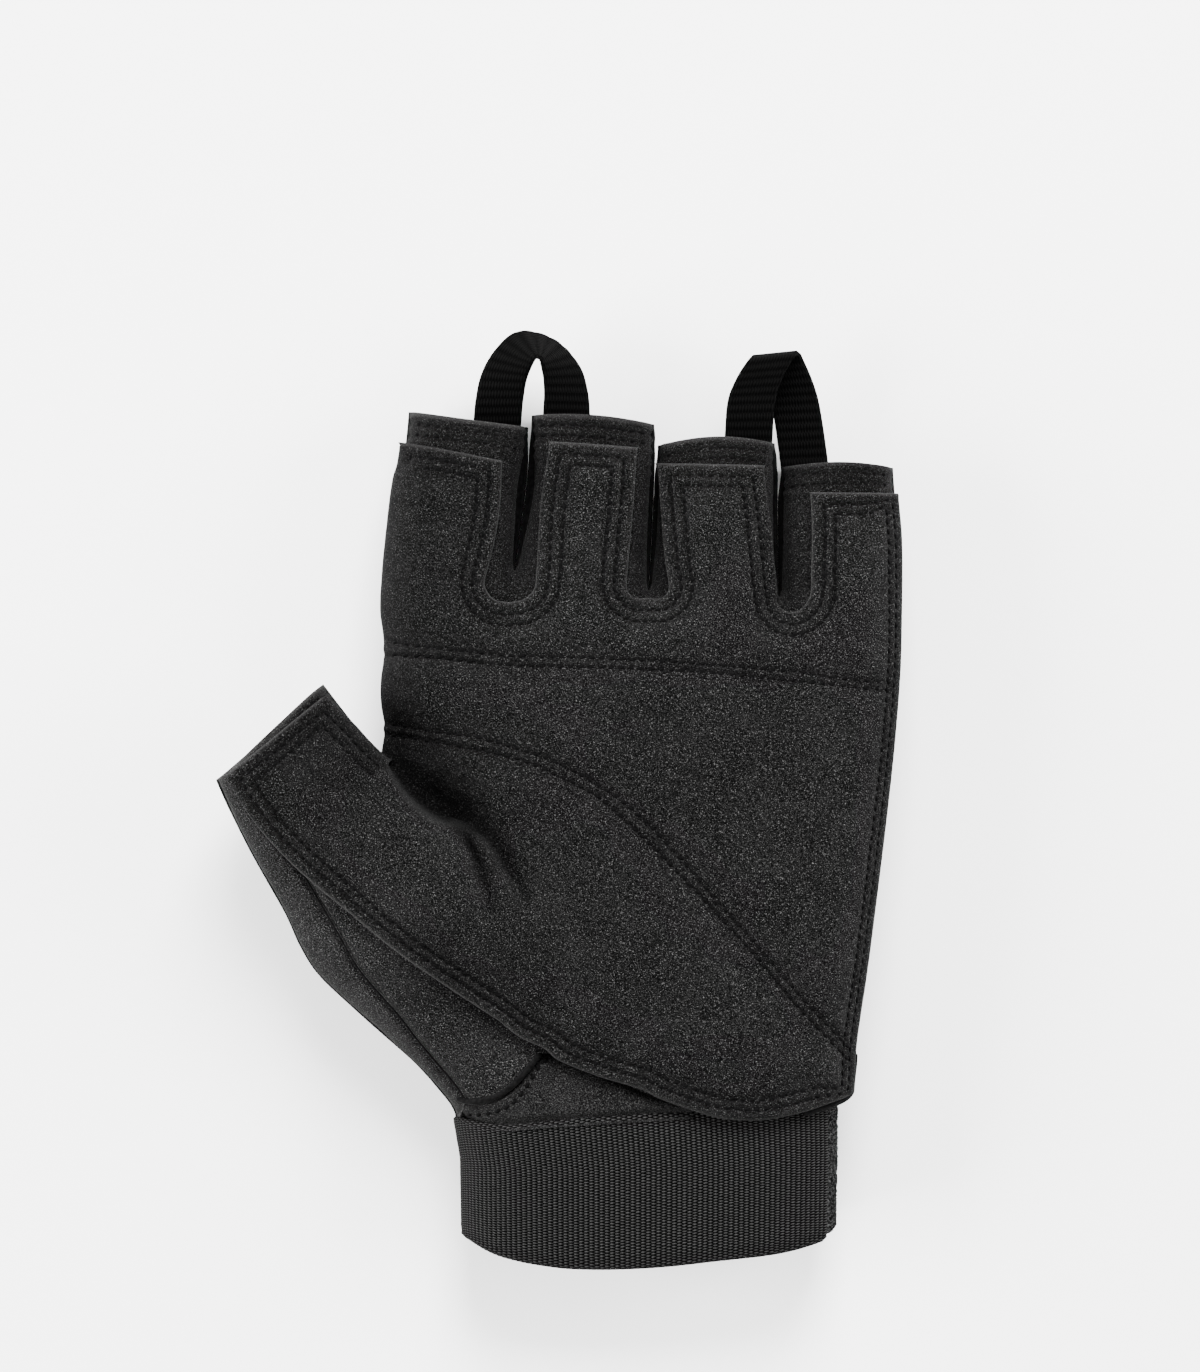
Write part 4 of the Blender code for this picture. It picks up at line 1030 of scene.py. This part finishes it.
def fourchettes():
    # a band along each gap's outline, which bulges out by 1 - t^4 until its two sides nearly touch, for t
    # from -1 to 1 over its height
    c = gapStrip
    for gap, (title, node) in c["pieces"].items():
        path = outline[gap]
        fork = forks[gap] * 12
        left, right = path[12:fork + 1], path[fork:-12]
        p = np.concatenate([evenly(left, c["steps"])[:-1], evenly(right, c["steps"])])
        away = pathDistance(path, p)[2]
        seam = heights(p)[1]
        t = np.linspace(-1, 1, c["across"])
        tall = glove["wallHalf"] + c["past"]
        onLeft = np.arange(len(p)) < c["steps"]
        toOther = np.where(onLeft, pathDistance(right, p)[0], pathDistance(left, p)[0])
        tipFar = np.minimum(lengths(p), lengths(p)[-1] - lengths(p))
        bulge = np.clip(toOther / 2 - c["off"], 0, c["bulge"]) * ramp(0, c["tip"], tipFar)
        bulge = bulge[:, None] * (1 - t**4) - c["drawn"] * t**4
        outerFace = [np.column_stack([p - away * bulge[:, [k]], seam + tall * h]) for k, h in enumerate(t)]
        innerFace = [np.column_stack([p + away * c["thick"], seam + tall * h]) for h in t[::-1]]
        grid = np.stack(outerFace + innerFace, 1)
        n, m = grid.shape[:2]
        caps = np.array([[j, j + 1, m - 2 - j, m - 1 - j] for j in range(m // 2 - 1)])
        faces = np.concatenate([gridFaces(n, m, wrap=True), caps[:, ::-1], caps + (n - 1) * m])
        # the darker copy of the stretch knit paints the shade between the fingers
        settle(makeMesh(title, grid.reshape(-1, 3), faces, 40), "gap", "stretch_fabric", node)


fourchettes()

# The knit piece at the heel of the hand, between the curved edge and the cuff.
gusset = {
    "upper": [
        (452, 1104), (466, 1099), (480, 1098), (500, 1091), (515, 1080), (530, 1062), (545, 1049),
        (570, 1055), (600, 1068), (650, 1090), (692, 1100),
    ],
    "lower": [(456, 1117), (500, 1121), (560, 1117), (640, 1112), (692, 1109)],
    "seam": [(462, 1113), (480, 1112), (500, 1107), (515, 1098), (530, 1079), (541, 1061), (550, 1054)],
    "binding": [(457, 1097), (470, 1099), (485, 1097), (500, 1091), (515, 1080), (528, 1066), (541, 1050)],
    "rows": 150, "columns": 26, "tuck": 0.0013, "upperShare": 0.7, "thick": 0.0009,
    "sunk": 0.0003, "edge": (0.0013, 0.0009), "row": (0.0002, 0.0006), "wave": (0.0001, 0.01),
}
gussetUpper, gussetLower, gussetSeam = (smooth(plan(gusset[key])) for key in ("upper", "lower", "seam"))


def gussetLift(p):
    # tucked under the palm's edge and under the cuff, and pressed along its seam
    c = gusset
    near = np.minimum(pathDistance(gussetUpper, p)[0], pathDistance(gussetLower, p)[0])
    row = pathDistance(gussetSeam, p)[0]
    lift = c["wave"][0] * ripple(p, c["wave"][1], 31) - c["sunk"]
    return lift - c["edge"][0] * bell(near, c["edge"][1]) - c["row"][0] * bell(row, c["row"][1])


def gussetSurface(p):
    # the gusset's upper side at plan points
    return Ground(p).skin(gussetLift(p))


def heelGusset():
    # a sheet ruled between its two edges, with its seam's stitches
    c = gusset
    upper = evenly(gussetUpper, c["rows"]) + [0, c["tuck"] * c["upperShare"]]
    lower = evenly(gussetLower, c["rows"]) - [0, c["tuck"]]
    p, quads = joinColumns([(upper, lower, c["columns"])])
    g = Ground(p)
    lift = gussetLift(p)
    points, faces = closedSheets(g.skin(lift), g.skin(lift - c["thick"]), quads)
    settle(makeMesh("heelGusset", points, faces, 60), "gusset", "side_fabric", "heel_gusset")
    stitchPieces("gussetStitches", [evenly(gussetSeam, 200)], gussetSurface, "side_fabric")


def sweep(centre, radius, sides):
    # a tube along a path of points in space, closed by its narrow rounded ends:
    # radius * sqrt(1 - (1 - steps from the end / 4)^2)
    run = np.gradient(centre, axis=0)
    run /= np.linalg.norm(run, axis=1)[:, None]
    across = np.cross(run, [0, 0, 1.0])
    across /= np.linalg.norm(across, axis=1)[:, None]
    up = np.cross(across, run)
    n = len(centre)
    i = np.arange(n)
    taper = np.sqrt(1 - (1 - np.clip(np.minimum(i, n - 1 - i) / 4.0, 0.08, 1)) ** 2)
    angle = np.arange(sides) * 2 * np.pi / sides
    ring = across[:, None] * np.cos(angle)[None, :, None] + up[:, None] * np.sin(angle)[None, :, None]
    points = centre[:, None] + ring * (radius * taper)[:, None, None]
    ends = np.stack([np.arange(sides)[::-1], np.arange(sides) + (n - 1) * sides])
    return points.reshape(-1, 3), [gridFaces(n, sides, wrap=True), ends]


def binding(name, line, lift, radius):
    # a round edging along a line of the photo
    centre = Ground(evenly(smooth(plan(line)), 120)).skin(lift)
    points, faces = sweep(centre, radius, 14)
    settle(makeMesh(name, points, faces, 60), "binding", "side_fabric")


heelGusset()
cornerLine = [
    (851, 1052), (851, 1072), (850, 1084), (847, 1092), (841, 1097), (831, 1101), (815, 1106), (800, 1110),
]
binding("heelBinding", gusset["binding"], -0.0002, 0.00062)
# the thumb's seam: a thin dark cord, its thread, made dark also as painted shade in the gap between the
# panels
binding("thumbSeam", palm["seam"], -0.0002, 0.0002)
binding("cornerPiping", cornerLine, 0.0008, 0.00050)

# The cuff: a ribbed elastic band, the fuzzy strip that it closes on and the tab under the wrist.
cuff = {
    "long": 0.029, "thick": 0.0018, "low": 0.0017, "high": 0.02364, "round": 0.01274,
    "top": [(456, 1115), (500, 1121), (560, 1116), (640, 1110), (700, 1108), (780, 1107), (849, 1096)],
    "down": [0.0, 0.35, 1.1], "left": [-0.0387, -0.0372, -0.0369], "right": [0.04186, 0.04186, 0.04143],
    "across": [-1.0, -0.8, -0.45, 0.0, 0.5, 1.0],
    "front": [0.84, 0.93, 1.05, 1.085, 1.025, 0.95], "back": [0.86, 0.90, 0.92, 0.92, 0.92, 0.88],
    "girth": 0.19, "elastic": (0.050, 0.84), "strip": (-0.165, 0.105), "gap": 0.0003,
    "rolledWithin": 0.035, "rolledShare": 0.45, "rolledInner": 0.3,
    "hemFar": 0.0019, "hemWide": 0.00035, "hemShare": 0.12, "hemTop": 1.6, "hemDark": 0.7,
    "ribPitch": 0.0011, "ribDeep": 0.00017, "yarnPitch": 0.00055, "perRib": 5, "rows": 36,
}


def cuffRing(down, inset):
    # the band's section: a loop of (x, z) from the little finger's side over the front
    left = np.interp(down, cuff["down"], cuff["left"]) + inset
    right = np.interp(down, cuff["down"], cuff["right"]) - inset
    low, high = cuff["low"] + inset, cuff["high"] - inset
    middle, reach = 0.5 * (low + high), cuff["round"] - inset
    turn = np.linspace(0, 0.5 * np.pi, 24)
    c, s = np.cos(turn), np.sin(turn)
    corners = [
        np.column_stack([right - reach + reach * c, middle + (high - middle) * s]),
        np.column_stack([left + reach - reach * s, middle + (high - middle) * c]),
        np.column_stack([left + reach - reach * c, middle - (middle - low) * s])[1:],
        np.column_stack([right - reach + reach * s, middle - (middle - low) * c]),
    ]
    return np.concatenate(corners + [corners[0][:1]])


def cuffSheet(ends, inset, top, bottom, around, rows):
    # points of the band at a depth, with their length around and down in metres
    topLine = smooth(plan(cuff["top"]))
    lower = {face: smooth(np.column_stack([cuff["across"], cuff[face]])) for face in ("front", "back")}
    grid, flat = [], []
    for v in np.linspace(top, bottom, rows + 1):
        loop = cuffRing(v, inset)
        far = lengths(loop) / lengths(loop)[-1]
        turn = np.linspace(ends[0], ends[1], around + 1)
        x, z = np.interp(turn % 1.0, far, loop[:, 0]), np.interp(turn % 1.0, far, loop[:, 1])
        half = 0.5 * (loop[:, 0].max() - loop[:, 0].min())
        side = (x - loop[:, 0].min() - half) / half
        front = ramp(0.25, 0.75, z / glove["handHigh"])
        low = np.interp(side, *lower["front"].T) * front + np.interp(side, *lower["back"].T) * (1 - front)
        y = np.interp(x, topLine[:, 0], topLine[:, 1]) - v * low * cuff["long"]
        grid.append(np.column_stack([x, y, z]))
        flat.append(np.column_stack([turn * cuff["girth"], np.full(around + 1, v * cuff["long"])]))
    return np.array(grid), np.array(flat)


def cuffElastic():
    # ribs stand out by (0.5 - 0.5 cos)^0.7 across each rib; both long edges are rolled in and hemmed
    c = cuff
    ribs = round((c["elastic"][1] - c["elastic"][0]) * c["girth"] / c["ribPitch"])
    around = ribs * c["perRib"]
    outer, flat = cuffSheet(c["elastic"], 0.0, 0.0, 1.0, around, c["rows"])
    inner, _ = cuffSheet(c["elastic"], c["thick"], 0.0, 1.0, around, c["rows"])
    rib = (0.5 - 0.5 * np.cos(np.arange(around + 1) / c["perRib"] * 2 * np.pi)) ** 0.7
    v = np.linspace(0, 1, c["rows"] + 1)
    rolled = rounded(1 - np.minimum(v, 1 - v) / c["rolledWithin"])
    hem = bell(np.minimum(v * c["hemTop"], 1 - v) * c["long"] - c["hemFar"], c["hemWide"])
    sunk = c["rolledShare"] * rolled + c["hemShare"] * hem
    share = (c["ribDeep"] / c["thick"] * (1 - rib)[None] + sunk[:, None])[..., None]
    face = outer * (1 - share) + inner * share
    inside = inner + (outer - inner) * c["rolledInner"] * rolled[:, None, None]
    quads = gridFaces(c["rows"] + 1, around + 1)
    points, faces = closedSheets(face.reshape(-1, 3), inside.reshape(-1, 3), quads)
    shade = np.broadcast_to(rib, face.shape[:2]).reshape(-1)
    uv = (flat / [c["ribPitch"], c["yarnPitch"]]).reshape(-1, 2)
    uv[:, 0] -= c["elastic"][0] * c["girth"] / c["ribPitch"]
    marks = {"rib": np.tile(shade, 2), "sewn": np.tile(np.repeat(hem * c["hemDark"], around + 1), 2)}
    piece = makeMesh("cuffElastic", points, faces, 60, marks, np.concatenate([uv, uv]))
    settle(piece, "elastic", "knit_elastic", "cuff_elastic")


# The strip lies just inside the elastic. Its tufts reach past its face by stand, and vary by uneven, in
# shares of its thickness.
strip = {
    "around": 260, "rows": 120, "long": 0.97, "thick": 0.0015,
    # shadow is the width in metres of the painted shadow beside the elastic's end.
    "stand": 0.25, "uneven": 0.65, "shadow": 0.0013,
}


def loopStrip():
    # a looped pile whose tufts stand up by fine uneven steps, with a painted shadow beside the elastic's end
    c, around, rows = strip, strip["around"], strip["rows"]
    depth = cuff["thick"] + cuff["gap"]
    outer, flat = cuffSheet(cuff["strip"], depth, 0.0, c["long"], around, rows)
    inner, _ = cuffSheet(cuff["strip"], depth + c["thick"], 0.0, c["long"], around, rows)
    tuft = c["uneven"] * np.random.default_rng(8).uniform(0, 1, outer.shape[:2])[..., None]
    face = outer * (1 + c["stand"] - tuft) + inner * (tuft - c["stand"])
    fromElastic = flat[..., 0].reshape(-1) - cuff["elastic"][0] * cuff["girth"]
    shadow = bell(fromElastic, c["shadow"])
    points, faces = closedSheets(face.reshape(-1, 3), inner.reshape(-1, 3), gridFaces(rows + 1, around + 1))
    piece = makeMesh("loopStrip", points, faces, 0, {"sewn": np.tile(shadow, 2)})
    settle(piece, "fuzzy", "fuzzy_loop", "loop_strip")


tab = {
    "left": -0.01288, "right": 0.02912, "deep": 0.02204, "below": 0.00174, "thick": 0.0011, "corner": 0.003,
    "bevel": 0.0003, "bevelWide": 0.0004, "least": 0.00001, "columns": 90, "rows": 50,
}


def closureTab():
    # a flat tab with rounded corners: its half width shrinks as a quarter circle near both ends
    c = tab
    x = np.linspace(c["left"], c["right"], c["columns"])
    topLine = plan(cuff["top"])
    centre = np.interp(x, topLine[:, 0], topLine[:, 1]) - c["below"] - 0.5 * c["deep"]
    fromEnd = np.minimum(x - c["left"], c["right"] - x)
    half = 0.5 * c["deep"] - c["corner"] * rounded(1 - fromEnd / c["corner"]) - c["least"]
    v = np.linspace(-1, 1, c["rows"])
    y = centre[:, None] + half[:, None] * v
    edge = np.minimum((1 - np.abs(v))[None] * half[:, None], fromEnd[:, None])
    bevel = c["bevel"] * rounded(1 - edge / c["bevelWide"])
    xx = np.broadcast_to(x[:, None], y.shape)
    upper = np.stack([xx, y, c["thick"] - bevel], -1).reshape(-1, 3)
    under = np.stack([xx, y, bevel], -1).reshape(-1, 3)
    points, faces = closedSheets(upper, under, gridFaces(c["columns"], c["rows"]))
    settle(makeMesh("closureTab", points, faces, 50), "hook", "hook_tape", "closure_tab")


cuffElastic()
loopStrip()
closureTab()

# The pull loops. Each row: x, y and z in millimetres, then the way of the ribbon's width.
webbing = {
    "wide": 0.0098, "thick": 0.0011, "least": 0.00002, "across": 21, "flat": 0.9,
    "ribPitch": 0.0018, "ribDeep": 0.00014, "perRib": 7, "yarnPitch": 0.0006,
}
loopPaths = {
    "pullLoopIndexMiddle": ("pull_loop_index_middle", [
        (-30.4, 80.0, 11.0, 1, 0, 0), (-29.6, 86.7, 12.0, 1, 0, 0), (-29.1, 91.8, 13.4, 1, 0, 0.05),
        (-28.1, 96.6, 14.8, 0.96, -0.1, 0.25),
        (-26.0, 100.6, 15.8, 0.77, -0.36, 0.52), (-23.3, 102.9, 16.6, 0.40, -0.60, 0.70),
        (-19.3, 101.9, 16.4, -0.30, -0.44, 0.84),
        (-16.5, 98.1, 15.6, -0.79, -0.13, 0.6), (-15.5, 93.6, 14.2, -0.90, 0, 0.4),
        (-15.4, 88.5, 12.5, -0.97, 0, 0.2), (-15.5, 80.7, 11.0, -1, 0, 0),
    ]),
    "pullLoopRingLittle": ("pull_loop_ring_little", [
        (21.4, 77.0, 10.8, 1, 0, 0), (21.8, 84.7, 12.2, 1, 0, 0), (22.3, 91.6, 14.2, 1, 0.04, 0),
        (23.8, 96.0, 15.7, 0.99, 0.08, 0),
        (25.9, 99.6, 16.4, 0.99, 0.10, 0), (27.2, 100.9, 14.6, 0.99, 0.10, 0),
        (28.2, 99.4, 12.6, 0.99, 0.10, 0),
        (30.0, 95.5, 11.0, 1, 0.08, 0), (31.5, 90.6, 9.7, 1, 0.05, 0), (33.0, 81.0, 9.0, 1, 0.05, 0),
        (33.8, 73.2, 9.8, 1, 0, 0),
    ]),
}


def pullLoop(name, node, rows):
    # a ribbon whose edges drop as quarter circles; ribs cross it, each standing out by (0.5 - 0.5 cos)^0.6
    c = webbing
    path = smooth(rows, 24) * ([0.001] * 3 + [1] * 3)
    total = lengths(path[:, :3])[-1]
    count = int(total / c["ribPitch"]) * c["perRib"]
    far = lengths(path[:, :3])
    s = np.linspace(0, total, count + 1)
    path = np.stack([np.interp(s, far, path[:, k]) for k in range(6)], 1)
    centre = path[:, :3]
    run = np.gradient(centre, axis=0)
    run /= np.linalg.norm(run, axis=1)[:, None]
    wide = path[:, 3:] / np.linalg.norm(path[:, 3:], axis=1)[:, None]
    thick = np.cross(wide, run)
    thick /= np.linalg.norm(thick, axis=1)[:, None]
    t = np.linspace(-1, 1, c["across"])
    edge = 1 - rounded((np.abs(t) - c["flat"]) / (1 - c["flat"]))
    rib = (0.5 - 0.5 * np.cos(np.arange(count + 1) / c["perRib"] * 2 * np.pi)) ** 0.6
    high = (0.5 * c["thick"] - c["ribDeep"] * (1 - rib))[:, None] * edge[None] + c["least"]
    profileX = np.concatenate([t, t[::-1]]) * 0.5 * c["wide"]
    profileZ = np.concatenate([high, -high[:, ::-1]], 1)
    points = centre[:, None] + wide[:, None] * profileX[:, None] + thick[:, None] * profileZ[..., None]
    n, m = points.shape[:2]
    caps = np.array([[j, j + 1, m - 2 - j, m - 1 - j] for j in range(m // 2 - 1)])
    faces = np.concatenate([gridFaces(n, m, wrap=True), caps[:, ::-1], caps + (n - 1) * m])
    u, v = np.broadcast_arrays(s[:, None] / c["ribPitch"], profileX[None] / c["yarnPitch"])
    uv = np.stack([u, v], -1)
    piece = makeMesh(name, points.reshape(-1, 3), faces, 60, {"rib": np.repeat(rib, m)}, uv.reshape(-1, 2))
    settle(piece, "webbing", "webbing", node)


for name, (node, rows) in loopPaths.items():
    pullLoop(name, node, rows)

# Floor, light and camera: a big lamp behind the fingers, one at each side, and a bright world. Each lamp has
# its place, its size in metres and its power.
stage = {"floor": 6, "world": 0.88, "aim": (0, 0.02, 0)}
lamps = {
    "topLight": ((0.15, 1.1, 1.0), 0.7, 100),
    "leftLight": ((-1.3, -0.2, 0.5), 0.9, 108),
    "rightLight": ((1.3, 0.2, 0.5), 0.9, 60),
}
# The camera looks straight down and sees this much of the frame over 36 mm of film.
view = {"x": -0.00857, "y": 0.0335, "z": 0.013, "distance": 1.3, "tall": 0.280, "film": 36, "near": 0.05}


def stageScene():
    # lens length = film * distance / what it sees
    bpy.ops.mesh.primitive_plane_add(size=stage["floor"])
    floor = bpy.context.object
    floor.name = "floor"
    floor.data.materials.append(floorFinish())
    for name, (place, size, power) in lamps.items():
        lamp = bpy.data.lights.new(name, "AREA")
        lamp.size = size
        lamp.energy = power
        light = bpy.data.objects.new(name, lamp)
        light.location = place
        light.rotation_euler = (Vector(stage["aim"]) - light.location).to_track_quat("-Z", "Y").to_euler()
        bpy.context.collection.objects.link(light)
    world = bpy.data.worlds.new("studio")
    world.use_nodes = True
    sky = world.node_tree.nodes["Background"].inputs
    sky["Color"].default_value = (1, 1, 1, 1)
    sky["Strength"].default_value = stage["world"]
    bpy.context.scene.world = world
    lens = bpy.data.cameras.new("camera")
    lens.lens = view["film"] * view["distance"] / view["tall"]
    lens.clip_start = view["near"]
    camera = bpy.data.objects.new("camera", lens)
    camera.location = (view["x"], view["y"], view["z"] + view["distance"])
    bpy.context.collection.objects.link(camera)
    bpy.context.scene.camera = camera


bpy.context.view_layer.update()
stageScene()
